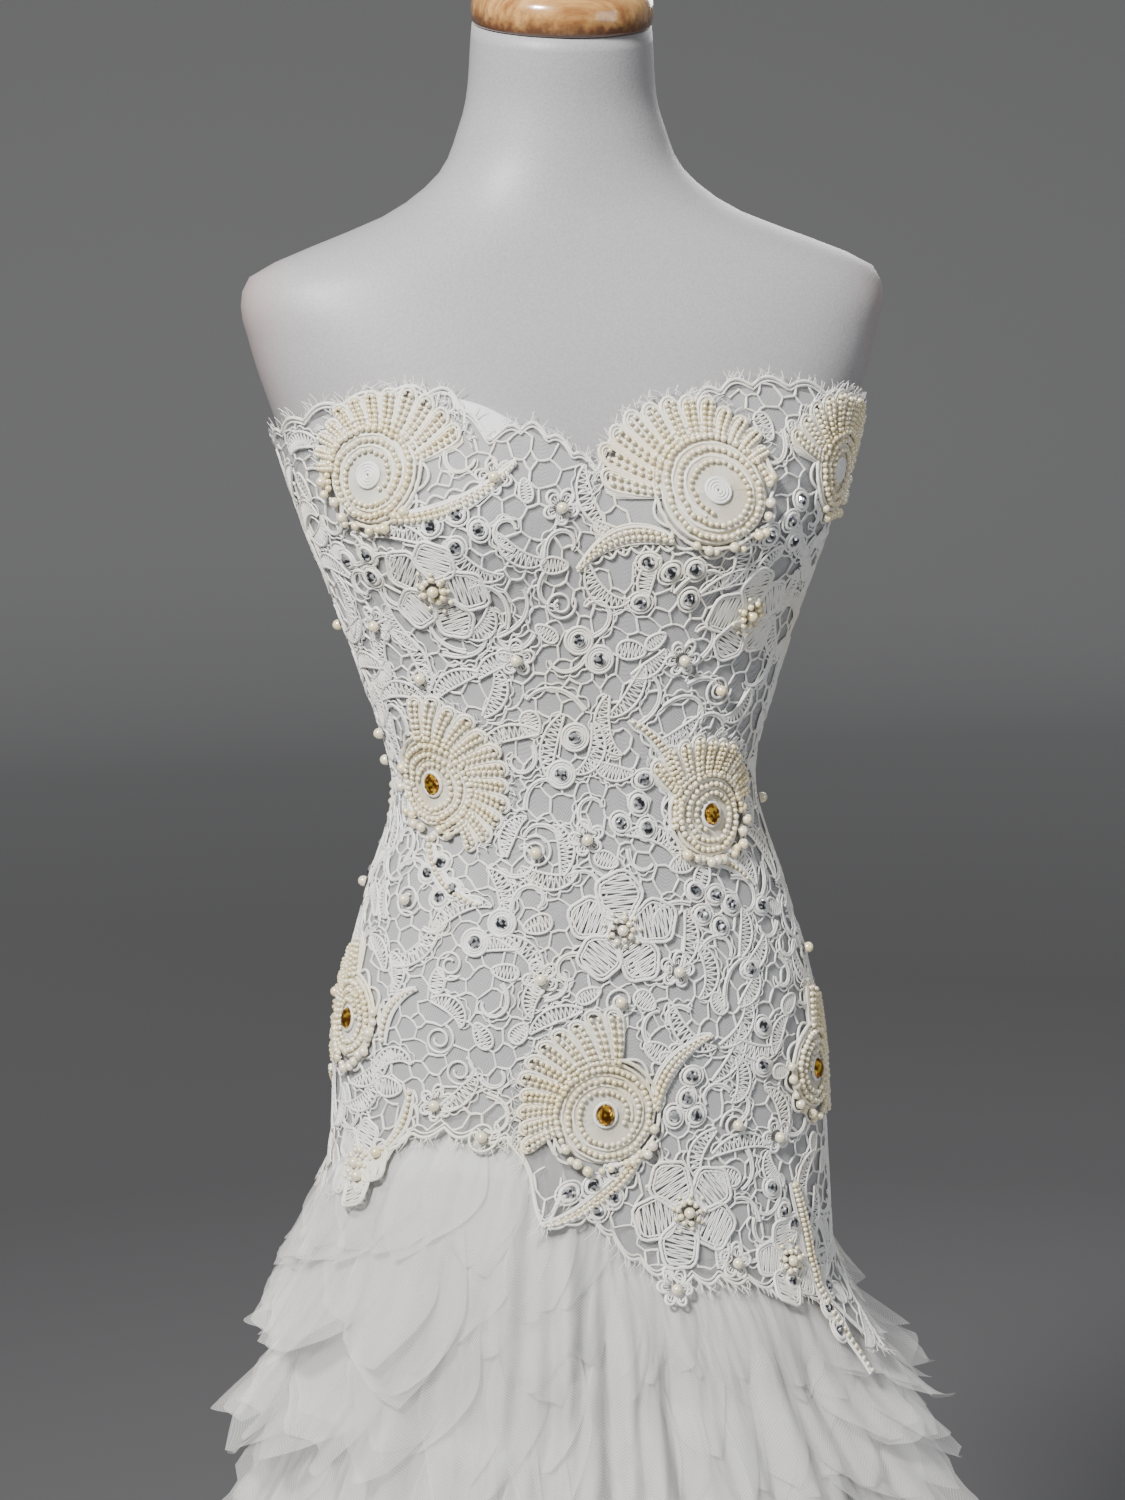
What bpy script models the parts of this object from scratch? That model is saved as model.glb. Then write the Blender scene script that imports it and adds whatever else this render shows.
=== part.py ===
"""A strapless lace prom dress on its limbless dress form and stand, at life size.

The front faces -Y and +Z is up. The origin is the middle of the stand's underside, on the floor.
Every cloth surface is given by an angle round the body and a height above the floor:
angle 0 is the centre front, +90 degrees is the +X side and 180 degrees is the centre back.
"""

import math
import random
from typing import NamedTuple

import bmesh
import bpy
import numpy as np
from mathutils import Vector
from mathutils.geometry import delaunay_2d_cdt

MM = 0.001

# Driving dimensions, in metres

FORM_BOTTOM = 0.745
FORM_TOP = 1.512
HIP_HEIGHT = 0.888
NECK_TILT = math.radians(14)
CAP_RADIUS = 0.0535
CAP_THICKNESS = 0.026

CLOTH_CLEARANCE = 0.9 * MM
SEAM_GAP = 0.3 * MM
LINING_WALL = 1.3 * MM
LACE_CLEARANCE = 2.6 * MM
LACE_WALL = 1.5 * MM
UNDERSKIRT_WALL = 1.3 * MM
TULLE_CLEARANCE = 0.9 * MM
TULLE_WALL = 1.1 * MM

BASE_RADIUS = 0.160
BASE_THICKNESS = 0.014
POLE_RADIUS = 0.0125
SOCKET_DEPTH = 0.070
FIT_GAP = 0.3 * MM


class Section(NamedTuple):
    """One level cut through the form or the skirt. Depths and widths are in millimetres."""

    height: float  # metres above the floor
    half_width: float
    front: float
    back: float
    power: float  # 2 is an ellipse, and more is squarer
    lean: float = 0.0  # how far the middle lies behind the axis


FORM_SECTIONS = [
    Section(0.745, 144, 90, 112, 2.3),
    Section(0.800, 147, 93, 117, 2.3),
    Section(0.868, 149, 95, 120, 2.3),
    Section(0.930, 142, 93, 110, 2.3),
    Section(0.995, 124, 88, 92, 2.3),
    Section(1.062, 106, 84, 78, 2.3),
    Section(1.120, 121, 86, 80, 2.3),
    Section(1.175, 139, 92, 86, 2.3),
    Section(1.225, 157, 97, 91, 2.35),
    Section(1.280, 174, 92, 94, 2.5),
    Section(1.330, 189, 80, 90, 2.8),
    Section(1.354, 193, 71, 85, 3.0),
    Section(1.370, 186, 65, 79, 2.9),
    Section(1.386, 150, 61, 73, 2.6, 1),
    Section(1.402, 109, 58, 68, 2.3, 3),
    Section(1.422, 79, 55, 62, 2.1, 3),
    Section(1.455, 61, 51, 55, 2.0, 0),
    Section(1.512, 53, 50, 52, 2.0, -8),
]

# The skirt hangs straight from one of these sections to the next
SKIRT_SECTIONS = [
    Section(0.700, 158, 110, 134, 2.2),
    Section(0.600, 186, 146, 166, 2.1),
    Section(0.400, 230, 196, 214, 2.0),
    Section(0.220, 276, 246, 262, 2.0),
    Section(0.010, 342, 322, 338, 2.0),
]


class Cup(NamedTuple):
    """The soft swell of one bust cup."""

    angle: float  # degrees
    height: float
    swell: float  # millimetres
    angle_spread: float  # degrees
    height_spread: float


CUPS = [Cup(-41, 1.222, 17, 24, 0.048), Cup(41, 1.222, 17, 24, 0.048)]


class EdgePoint(NamedTuple):
    """A point of an edge that runs round the body."""

    angle: float  # degrees
    height: float


# The top of the lining on one side, mirrored on the other: a sweetheart V, a cup, then a dip to the zip
NECKLINE = [
    EdgePoint(0, 1.252),
    EdgePoint(12, 1.268),
    EdgePoint(24, 1.281),
    EdgePoint(38, 1.295),
    EdgePoint(50, 1.299),
    EdgePoint(62, 1.294),
    EdgePoint(76, 1.280),
    EdgePoint(96, 1.263),
    EdgePoint(140, 1.246),
    EdgePoint(180, 1.240),
]

# The hip seam, where the lace stops and the tulle starts. It is highest on the -X side of the front
HIP_SEAM = [
    EdgePoint(-180, 0.832),
    EdgePoint(-125, 0.828),
    EdgePoint(-95, 0.828),
    EdgePoint(-78, 0.840),
    EdgePoint(-64, 0.862),
    EdgePoint(-52, 0.876),
    EdgePoint(-38, 0.875),
    EdgePoint(-24, 0.866),
    EdgePoint(-13, 0.846),
    EdgePoint(-3, 0.818),
    EdgePoint(8, 0.796),
    EdgePoint(20, 0.784),
    EdgePoint(36, 0.778),
    EdgePoint(50, 0.766),
    EdgePoint(64, 0.750),
    EdgePoint(76, 0.744),
    EdgePoint(96, 0.760),
    EdgePoint(125, 0.802),
    EdgePoint(150, 0.825),
    EdgePoint(180, 0.832),
]


# Smooth curves and sections


class Curve:
    """A smooth curve through a table's points, held level past both ends."""

    def __init__(self, points):
        columns = list(zip(*points))
        self.x = np.array(columns[0], float)
        self.y = np.array(columns[1], float)
        self.slope = np.gradient(self.y, self.x)

    def __call__(self, x):
        x = min(max(x, self.x[0]), self.x[-1])
        i = min(max(int(np.searchsorted(self.x, x)) - 1, 0), len(self.x) - 2)
        step = self.x[i + 1] - self.x[i]
        t = (x - self.x[i]) / step
        from_start = (2 * t**3 - 3 * t**2 + 1) * self.y[i] + (t**3 - 2 * t**2 + t) * step * self.slope[i]
        from_end = (3 * t**2 - 2 * t**3) * self.y[i + 1] + (t**3 - t**2) * step * self.slope[i + 1]
        return float(from_start + from_end)


def section_curves(sections):
    """One smooth curve over the height for each column of a section table."""
    names = Section._fields[1:]
    return {name: Curve([(s.height, getattr(s, name)) for s in sections]) for name in names}


FORM_CURVES = section_curves(FORM_SECTIONS)
NECKLINE_CURVE = Curve(NECKLINE)
HIP_SEAM_CURVE = Curve(HIP_SEAM)


def smooth_step(t):
    t = min(max(t, 0.0), 1.0)
    return t * t * (3 - 2 * t)


def squared_oval(angle, half_width, front, back, power):
    """Distance from the middle of a section to its edge, at an angle from the front."""
    depth = front if math.cos(angle) > 0 else back
    across = abs(math.sin(angle)) / half_width
    along = abs(math.cos(angle)) / depth
    return (across**power + along**power) ** (-1 / power)


def cup_swell(angle, height):
    swell = 0.0
    for cup in CUPS:
        turn = (math.degrees(angle) - cup.angle) / cup.angle_spread
        rise = (height - cup.height) / cup.height_spread
        swell += cup.swell * math.exp(-turn * turn - rise * rise)
    return swell


def form_radius(angle, height):
    row = {name: curve(height) for name, curve in FORM_CURVES.items()}
    oval = squared_oval(angle, row["half_width"], row["front"], row["back"], row["power"])
    return (oval + cup_swell(angle, height)) * MM


def skirt_radius(angle, section):
    return squared_oval(angle, section.half_width, section.front, section.back, section.power) * MM


def garment_radius(angle, height):
    """The inner face of the dress: over the form down to the hip, then straight from section to section."""
    if height >= HIP_HEIGHT:
        return form_radius(angle, height) + CLOTH_CLEARANCE
    heights = [HIP_HEIGHT] + [s.height for s in SKIRT_SECTIONS]
    radii = [form_radius(angle, HIP_HEIGHT) + CLOTH_CLEARANCE]
    radii += [skirt_radius(angle, s) for s in SKIRT_SECTIONS]
    return float(np.interp(height, heights[::-1], radii[::-1]))


def cloth_point(angle, height, out):
    """A point that lies a given distance outside the dress's inner face."""
    radius = garment_radius(angle, height) + out
    return Vector((radius * math.sin(angle), -radius * math.cos(angle), height))


def wrapped_degrees(angle):
    return (math.degrees(angle) + 180) % 360 - 180


def neckline_height(angle):
    return NECKLINE_CURVE(abs(wrapped_degrees(angle)))


def hip_seam_height(angle):
    return HIP_SEAM_CURVE(wrapped_degrees(angle))


# Meshes and materials


def clear_scene():
    for item in list(bpy.data.objects):
        bpy.data.objects.remove(item, do_unlink=True)


def make_material(name, colour, roughness, metallic=0.0):
    material = bpy.data.materials.new(name)
    material.use_nodes = True
    shader = material.node_tree.nodes["Principled BSDF"]
    shader.inputs["Base Color"].default_value = (*colour, 1.0)
    shader.inputs["Roughness"].default_value = roughness
    shader.inputs["Metallic"].default_value = metallic
    return material


def make_object(name, points, faces, material):
    """A closed mesh object with its faces turned outwards."""
    mesh = bpy.data.meshes.new(name)
    mesh.from_pydata([tuple(p) for p in points], [], faces)
    work = bmesh.new()
    work.from_mesh(mesh)
    bmesh.ops.recalc_face_normals(work, faces=work.faces)
    work.to_mesh(mesh)
    work.free()
    mesh.materials.append(material)
    mesh.shade_smooth()
    mesh.set_sharp_from_angle(angle=math.radians(50))
    item = bpy.data.objects.new(name, mesh)
    bpy.context.scene.collection.objects.link(item)
    return item


def loft_rings(rings):
    """Points and faces of a closed body from level rings of equal length, capped at both ends.

    Its quads are split along the same diagonals as a panel's, so that cloth can lie close to a body.
    """
    size = len(rings[0])
    points = [p for ring in rings for p in ring]
    faces = []
    for row in range(len(rings) - 1):
        for i in range(size):
            j = (i + 1) % size
            corner = row * size + i
            across = (row + 1) * size + j
            faces.append((corner, row * size + j, across))
            faces.append((corner, across, (row + 1) * size + i))
    faces.append(tuple(range(size)))
    faces.append(tuple(range((len(rings) - 1) * size, len(rings) * size)))
    return points, faces


def turned(profile, sides):
    """A turned body from (radius, height) pairs, listed from one end to the other."""
    bearings = [2 * math.pi * i / sides for i in range(sides)]
    rings = []
    for radius, height in profile:
        rings.append([Vector((radius * math.cos(b), radius * math.sin(b), height)) for b in bearings])
    return loft_rings(rings)


class Place(NamedTuple):
    """A place on a cloth wall: where it is, and how far out its two faces lie."""

    angle: float
    height: float
    inner: float
    outer: float


def panel(name, rows, material):
    """A cloth panel with a wall, from rows of places that run from edge to edge.

    Both faces are split along the same diagonals, so that the wall keeps its thickness where it twists.
    """
    width = len(rows[0])
    count = width * len(rows)
    places = [place for row in rows for place in row]
    points = [cloth_point(p.angle, p.height, p.inner) for p in places]
    points += [cloth_point(p.angle, p.height, p.outer) for p in places]
    faces = []
    for row in range(len(rows) - 1):
        for i in range(width - 1):
            corner = row * width + i
            across = corner + width + 1
            for triangle in ((corner, corner + 1, across), (corner, across, corner + width)):
                faces.append(triangle)
                faces.append(tuple(count + index for index in reversed(triangle)))
    last = (len(rows) - 1) * width
    border = list(range(width))
    border += [row * width + width - 1 for row in range(1, len(rows))]
    border += list(range(last + width - 2, last - 1, -1))
    border += [row * width for row in range(len(rows) - 2, 0, -1)]
    for a, b in zip(border, border[1:] + border[:1]):
        faces.append((a, b, count + b, count + a))
    return make_object(name, points, faces, material)


def seam_angle(angle, side, height):
    """A seam's angle moved half a seam gap into its panel."""
    return angle + side * SEAM_GAP / 2 / garment_radius(angle, height)


def spread_angles(start, end, fractions, height):
    """Angles across a panel between two seams, at fractions of its width."""
    first = seam_angle(start, 1, height)
    last = seam_angle(end, -1, height)
    return [first + (last - first) * f for f in fractions]


# The rows that the form and the lining share, so that the two stay one gap apart

BODY_COLUMNS = 32
LEVEL_ROWS = [0.888, 0.920, 0.953, 0.985, 1.014, 1.040, 1.064, 1.090, 1.120, 1.155, 1.190]
ROWS_TO_NECKLINE = 5


def level(height):
    """A row at one height all round."""
    return lambda angle: height


def towards_neckline(share):
    """A row part of the way from the last level row up to the neckline."""
    return lambda angle: LEVEL_ROWS[-1] * (1 - share) + neckline_height(angle) * share


BODY_ROWS = [level(height) for height in LEVEL_ROWS]
BODY_ROWS += [towards_neckline((i + 1) / ROWS_TO_NECKLINE) for i in range(ROWS_TO_NECKLINE)]

# The dress form and its stand

ROWS_BELOW = [0.745, 0.810]
ROWS_ABOVE = [1.332, 1.354, 1.370, 1.386, 1.402, 1.422, 1.455, 1.512]
TILT_START = 1.440
CAP_SIDES = 20
POLE_SIDES = 12
FOOT_SIDES = 32


def form_ring(height_at):
    """A ring of the form's skin. Near the top the ring tilts forward with the neck's cut."""
    ring = []
    for i in range(BODY_COLUMNS):
        angle = 2 * math.pi * i / BODY_COLUMNS
        height = height_at(angle)
        lean = FORM_CURVES["lean"](height) * MM
        tilt = smooth_step((height - TILT_START) / (FORM_TOP - TILT_START)) * math.tan(NECK_TILT)
        radius = form_radius(angle, height)
        back = -radius * math.cos(angle)
        ring.append(Vector((radius * math.sin(angle), back + lean, height + back * tilt)))
    return ring


def circle_ring(radius, height):
    angles = [2 * math.pi * i / BODY_COLUMNS for i in range(BODY_COLUMNS)]
    return [Vector((radius * math.sin(a), -radius * math.cos(a), height)) for a in angles]


def make_form_torso(material):
    """The smooth body, with a round socket in its underside for the pole."""
    socket = POLE_RADIUS + FIT_GAP
    rings = [circle_ring(socket, FORM_BOTTOM + SOCKET_DEPTH), circle_ring(socket, FORM_BOTTOM)]
    rings += [form_ring(level(height)) for height in ROWS_BELOW]
    rings += [form_ring(row) for row in BODY_ROWS]
    rings += [form_ring(level(height)) for height in ROWS_ABOVE]
    return make_object("form_torso", *loft_rings(rings), material)


def make_neck_cap(material):
    """A turned wooden cap on the neck's tilted cut."""
    rim = CAP_RADIUS
    top = CAP_THICKNESS
    profile = [
        (rim - 0.0015, 0.0),
        (rim, 0.0030),
        (rim + 0.0004, 0.0100),
        (rim - 0.0010, 0.0165),
        (rim - 0.0070, 0.0222),
        (rim - 0.0200, 0.0252),
        (rim - 0.0400, top),
    ]
    cap = make_object("neck_cap", *turned(profile, CAP_SIDES), material)
    lean = FORM_CURVES["lean"](FORM_TOP) * MM
    upright = Vector((0.0, -math.sin(NECK_TILT), math.cos(NECK_TILT)))
    cap.location = Vector((0.0, lean, FORM_TOP)) + upright * FIT_GAP
    cap.rotation_euler = (NECK_TILT, 0.0, 0.0)
    return cap


def make_stand(metal):
    """The pole and its round foot. The foot's flat underside is on the floor."""
    pole_foot = BASE_THICKNESS + FIT_GAP
    pole_top = FORM_BOTTOM + SOCKET_DEPTH - FIT_GAP
    collar = POLE_RADIUS + 0.012
    pole_profile = [
        (collar, pole_foot),
        (collar, pole_foot + 0.006),
        (collar - 0.006, pole_foot + 0.016),
        (POLE_RADIUS, pole_foot + 0.030),
        (POLE_RADIUS, pole_top),
    ]
    make_object("stand_pole", *turned(pole_profile, POLE_SIDES), metal)
    foot_profile = [
        (BASE_RADIUS - 0.004, 0.0),
        (BASE_RADIUS, 0.003),
        (BASE_RADIUS, 0.006),
        (BASE_RADIUS - 0.012, 0.011),
        (0.050, BASE_THICKNESS),
    ]
    make_object("stand_base", *turned(foot_profile, FOOT_SIDES), metal)


# The lining and the underskirt

HALF = math.pi / 2
BODY_STEP = 2 * math.pi / BODY_COLUMNS
ROWS_TO_SEAM = 2


class Panel(NamedTuple):
    """A panel's name ending and the seams that it runs between."""

    name: str
    start: float
    end: float


BODICE_PANELS = [
    Panel("front", -HALF, HALF),
    Panel("back_left", -2 * HALF, -HALF),
    Panel("back_right", HALF, 2 * HALF),
]
SKIRT_PANELS = [Panel("front", -HALF, HALF), Panel("back", HALF, 3 * HALF)]


def column_fractions(piece, step):
    count = round((piece.end - piece.start) / step)
    return [i / count for i in range(count + 1)]


def lining_row(piece, height_at):
    """One row of a lining panel, at the height that each angle asks for."""
    row = []
    for fraction in column_fractions(piece, BODY_STEP):
        nominal = piece.start + (piece.end - piece.start) * fraction
        height = height_at(nominal)
        angle = spread_angles(piece.start, piece.end, [fraction], height)[0]
        row.append(Place(angle, height, 0.0, LINING_WALL))
    return row


def make_lining(piece, material):
    """From the hip seam to the neckline, on the form's own rows."""
    rows = []
    for i in range(ROWS_TO_SEAM):
        share = i / ROWS_TO_SEAM
        rows.append(lining_row(piece, lambda a, s=share: hip_seam_height(a) * (1 - s) + LEVEL_ROWS[0] * s))
    rows += [lining_row(piece, row) for row in BODY_ROWS]
    return panel(f"lining_{piece.name}", rows, material)


def make_underskirt(piece, material):
    """From just under the hip seam to just above the floor."""
    fractions = column_fractions(piece, BODY_STEP)
    row_heights = [lambda a: hip_seam_height(a) - SEAM_GAP] + [level(s.height) for s in SKIRT_SECTIONS]
    rows = []
    for height_at in row_heights:
        row = []
        for fraction in fractions:
            nominal = piece.start + (piece.end - piece.start) * fraction
            height = height_at(nominal)
            angle = spread_angles(piece.start, piece.end, [fraction], height)[0]
            row.append(Place(angle, height, 0.0, UNDERSKIRT_WALL))
        rows.append(row)
    return panel(f"underskirt_{piece.name}", rows, material)


# The tulle flounces


class Tier(NamedTuple):
    """One gathered flounce."""

    top: float
    hem: float  # the height that its lowest points reach
    follow: float  # how much of the hip seam's slant the flounce keeps
    stand_out: float  # how far the hem stands off the underskirt
    wave: float  # how deep its waves are at the hem
    waves: int  # waves in each half
    points: float  # how far the hem rises between its points


TIERS = [
    Tier(0.828, 0.766, 1.00, 0.026, 0.006, 10, 0.030),
    Tier(0.800, 0.715, 0.85, 0.050, 0.009, 10, 0.042),
    Tier(0.755, 0.665, 0.60, 0.050, 0.010, 10, 0.048),
    Tier(0.700, 0.598, 0.40, 0.038, 0.012, 10, 0.054),
    Tier(0.660, 0.400, 0.20, 0.042, 0.015, 12, 0.075),
    Tier(0.460, 0.014, 0.00, 0.052, 0.018, 12, 0.030),
]
TIER_ROWS = [0.0, 0.45, 1.0]
POINTS_PER_WAVE = 3
WAVES_PER_POINT = 2
SEAM_LEVEL = 0.828
HEM_SLANT = 0.9
STAND_POWER = 1.25
WAVE_POWER = 1.3


def tier_start(tier, angle):
    """Where a flounce is sewn on. The first one starts just under the hip seam."""
    if tier is TIERS[0]:
        return hip_seam_height(angle) - 2 * SEAM_GAP
    return tier.top + (hip_seam_height(angle) - SEAM_LEVEL) * tier.follow


def tier_hem(tier, angle):
    """The height that the hem's points reach. It slants a little less than the flounce's top."""
    return tier.hem + (hip_seam_height(angle) - SEAM_LEVEL) * tier.follow * HEM_SLANT


def tier_out(tier, drop):
    """How far a flounce stands off the underskirt at a fraction of its drop, without its waves."""
    return UNDERSKIRT_WALL + TULLE_CLEARANCE + tier.stand_out * drop**STAND_POWER


def tier_wave(tier, drop):
    return tier.wave * drop**WAVE_POWER


def uneven(share):
    """A share of the way across a half, shifted so that no two waves are equally wide."""
    fade = math.sin(math.pi * share)
    slow = 0.010 * math.sin(4 * math.pi * share + 1)
    return share + fade * (slow + 0.006 * math.sin(10 * math.pi * share))


def make_tier(number, tier, piece, material):
    """Half a flounce: waves that deepen towards a hem of soft points, in step with the flounces near it."""
    columns = tier.waves * POINTS_PER_WAVE
    rows = []
    for share_down in TIER_ROWS:
        row = []
        for i in range(columns + 1):
            share = uneven(i / columns)
            nominal = piece.start + (piece.end - piece.start) * share
            turn = 2 * math.pi * i / POINTS_PER_WAVE
            start = tier_start(tier, nominal)
            petal = abs(math.sin(turn / WAVES_PER_POINT / 2 + number))
            full = start - tier_hem(tier, nominal)
            length = full - tier.points * (1 - petal) * (0.75 + 0.25 * math.sin(7 * nominal + 2 * number))
            height = start - length * share_down
            drop = length * share_down / full
            depth = 0.85 + 0.15 * math.sin(3 * nominal + 2 * number)
            inner = tier_out(tier, drop) + tier_wave(tier, drop) * depth * math.sin(turn)
            angle = spread_angles(piece.start, piece.end, [share], height)[0]
            row.append(Place(angle, height, inner, inner + TULLE_WALL))
        rows.append(row)
    return panel(f"tulle_{number}_{piece.name}", rows, material)


# The lace: a flat pattern of round-the-body distance and height, wrapped on to the lining

PATTERN_RADIUS = 0.125
LACE_INNER = LINING_WALL + LACE_CLEARANCE
LOBE_ANGLE = math.radians(8)
LOBE_RISE = 0.005
LOBE_POINTS = 2
EDGE_OVERLAP = 0.008
EDGE_RISE = 0.002
SIDE_STEP = 0.030


class Dip(NamedTuple):
    """A place where the lace's top or bottom edge departs from the seam it follows."""

    angle: float  # degrees
    spread: float
    depth: float


TOP_DIPS = [Dip(-33, 7, 0.018), Dip(9, 6, -0.012)]
BOTTOM_DIPS = [Dip(74, 5, 0.036), Dip(-78, 7, 0.012), Dip(-20, 5, 0.030)]
RIM_START = 0.018
RIM_LIFT = 2.2 * MM
CUP_EASE = 0.10
SIDE_EASE = 1.0 * MM
SIDE_POWER = 10


class Motif(NamedTuple):
    """A raised lace motif. Its turn is the way that its lobes open, from +X round to up."""

    kind: str
    angle: float  # degrees
    height: float
    radius: float  # millimetres; half the length of a crescent
    turn: float  # degrees


MOTIFS = [
    Motif("fan", -57, 1.255, 50, 100),
    Motif("fan", 32, 1.243, 60, 115),
    Motif("fan", 70, 1.249, 42, 90),
    Motif("fan", -59, 1.070, 52, 10),
    Motif("fan", 43, 1.048, 50, 70),
    Motif("fan", -79, 0.924, 50, 165),
    Motif("fan", -1, 0.875, 57, 140),
    Motif("fan", 71, 0.880, 50, 15),
    Motif("flower", -46, 1.180, 29, 0),
    Motif("flower", 49, 1.160, 28, 30),
    Motif("flower", 7, 0.984, 32, 15),
    Motif("flower", 25, 0.818, 31, 40),
    Motif("flower", -70, 0.845, 24, 10),
    Motif("flower", 55, 0.795, 24, 25),
    Motif("crescent", 4, 1.202, 30, 14),
    Motif("crescent", 19, 1.078, 36, -63),
    Motif("crescent", -48, 1.004, 28, -43),
    Motif("crescent", 26, 0.903, 28, 44),
    Motif("crescent", -12, 0.828, 26, 207),
    Motif("crescent", -60, 0.933, 24, 80),
    Motif("crescent", 48, 0.985, 22, -23),
    Motif("crescent", 68, 0.772, 40, -75),
    Motif("fan", -150, 1.195, 42, 100),
    Motif("fan", 150, 1.185, 42, 80),
    Motif("fan", -122, 1.050, 46, 160),
    Motif("fan", 122, 1.060, 46, 20),
    Motif("fan", -156, 0.905, 48, 120),
    Motif("fan", 152, 0.890, 48, 60),
    Motif("flower", -112, 1.160, 26, 20),
    Motif("flower", 110, 1.160, 26, 0),
    Motif("flower", -160, 1.040, 24, 45),
    Motif("flower", 160, 1.045, 24, 10),
    Motif("crescent", -112, 0.965, 24, 120),
    Motif("crescent", 108, 0.960, 24, 60),
]
MOTIF_RELIEF = {"fan": 2.4 * MM, "flower": 1.5 * MM, "crescent": 1.8 * MM}
FAN_LOBES = 9
FAN_SWEEP = math.radians(230)
FAN_BACK = 0.45
PLATEAU = 0.80
PETALS = 5
CRESCENT_WIDTH = 6.5 * MM
CRESCENT_BEND = 0.30
CRESCENT_STEPS = 5

NET_PITCH = 0.0158
NET_ROW = 0.0145
NET_JITTER = 0.0012
GAP_LEAST = 0.0044
GAP_MOST = 0.0054
GAP_ROOM = 0.030
GAP_SIDES = 4
GAP_TO_MOTIF = 0.0015
GAP_TO_EDGE = 0.0085
GAPS = {"front": 90, "back_left": 30, "back_right": 30}
FILL_ACROSS = 0.0165
FILL_UP = 0.030
FILL_SPACE = 0.72
FILL_TO_EDGE = 0.007


def pattern_point(angle_degrees, height):
    return Vector((math.radians(angle_degrees) * PATTERN_RADIUS, height))


def lobes(angle):
    return LOBE_RISE * abs(math.sin(math.pi * angle / LOBE_ANGLE))


def dips(table, angle):
    turn = wrapped_degrees(angle)
    return sum(d.depth * math.exp(-(((turn - d.angle) / d.spread) ** 2)) for d in table)


def lace_top(angle):
    return neckline_height(angle) + EDGE_RISE + lobes(angle) - dips(TOP_DIPS, angle)


def lace_bottom(angle):
    return hip_seam_height(angle) - EDGE_OVERLAP - lobes(angle) - dips(BOTTOM_DIPS, angle)


def lace_inner(angle, height):
    """How far out the lace's inner face lies. Below the hip seam it lies over the first flounce."""
    below = hip_seam_height(angle) - height
    rim = RIM_LIFT * smooth_step((below + RIM_START) / RIM_START)
    first = TIERS[0]
    drop = max(below, 0.0) / (tier_start(first, angle) - tier_hem(first, angle))
    ease = CUP_EASE * cup_swell(angle, height) * MM + SIDE_EASE * math.sin(angle) ** SIDE_POWER
    return LACE_INNER + ease + rim + first.stand_out * drop**STAND_POWER + tier_wave(first, drop)


def lace_outline(piece):
    """The panel's outline in the pattern: bottom edge, one side, top edge, other side."""
    step = LOBE_ANGLE / LOBE_POINTS
    count = round((piece.end - piece.start) / step)
    angles = [piece.start + (piece.end - piece.start) * i / count for i in range(count + 1)]
    bottom = [(a, lace_bottom(a)) for a in angles]
    top = [(a, lace_top(a)) for a in reversed(angles)]
    sides = []
    for angle in (piece.end, piece.start):
        low, high = lace_bottom(angle), lace_top(angle)
        rows = round((high - low) / SIDE_STEP)
        side = [(angle, low + (high - low) * i / rows) for i in range(1, rows)]
        sides.append(side)
    loop = bottom + sides[0] + top + sides[1][::-1]
    placed = []
    for angle, height in loop:
        if angle == piece.start:
            angle = seam_angle(angle, 1, height)
        elif angle == piece.end:
            angle = seam_angle(angle, -1, height)
        placed.append(Vector((angle * PATTERN_RADIUS, height)))
    return placed


def inside(point, loop):
    """Whether a flat point is inside a closed loop."""
    hit = False
    for a, b in zip(loop, loop[1:] + loop[:1]):
        if (a.y > point.y) != (b.y > point.y):
            if point.x < a.x + (point.y - a.y) * (b.x - a.x) / (b.y - a.y):
                hit = not hit
    return hit


def distance_to_loop(point, loop):
    nearest = math.inf
    for a, b in zip(loop, loop[1:] + loop[:1]):
        along = b - a
        t = min(max((point - a).dot(along) / along.length_squared, 0.0), 1.0)
        nearest = min(nearest, (point - a - along * t).length)
    return nearest


def fan_reach(motif, bearing):
    """A fan's edge: round lobes on its open side, and a small round back."""
    off = (bearing - math.radians(motif.turn) + math.pi) % (2 * math.pi) - math.pi
    radius = motif.radius * MM
    if abs(off) > FAN_SWEEP / 2:
        return radius * FAN_BACK
    lobe = (off / FAN_SWEEP + 0.5) * FAN_LOBES
    return radius * (0.90 + 0.10 * abs(math.sin(math.pi * lobe)))


def flower_reach(motif, bearing):
    petal = (bearing - math.radians(motif.turn)) * PETALS / 2
    return motif.radius * MM * (0.72 + 0.28 * abs(math.cos(petal)))


def crescent_line(motif):
    """The bowed middle line of a crescent."""
    turn = math.radians(motif.turn)
    along = Vector((math.cos(turn), math.sin(turn)))
    across = Vector((-along.y, along.x))
    middle = pattern_point(motif.angle, motif.height)
    half = motif.radius * MM
    line = []
    for i in range(CRESCENT_STEPS):
        t = 2 * i / (CRESCENT_STEPS - 1) - 1
        line.append(middle + along * half * t + across * half * CRESCENT_BEND * (1 - t * t))
    return line


def crescent_width(share):
    return CRESCENT_WIDTH * math.sin(math.pi * (0.12 + 0.76 * share)) ** 0.7


def reach(motif, bearing):
    """How far a motif's edge lies from its middle."""
    return fan_reach(motif, bearing) if motif.kind == "fan" else flower_reach(motif, bearing)


def motif_height(motif, point):
    """How far a motif raises the lace at a point of the pattern."""
    relief = MOTIF_RELIEF[motif.kind]
    if motif.kind == "crescent":
        line = crescent_line(motif)
        nearest = min((point - p).length for p in line)
        return relief * max(0.0, 1 - nearest / CRESCENT_WIDTH)
    offset = point - pattern_point(motif.angle, motif.height)
    edge = reach(motif, math.atan2(offset.y, offset.x))
    return relief * min(max((edge - offset.length) / (edge * (1 - PLATEAU)), 0.0), 1.0)


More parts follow.
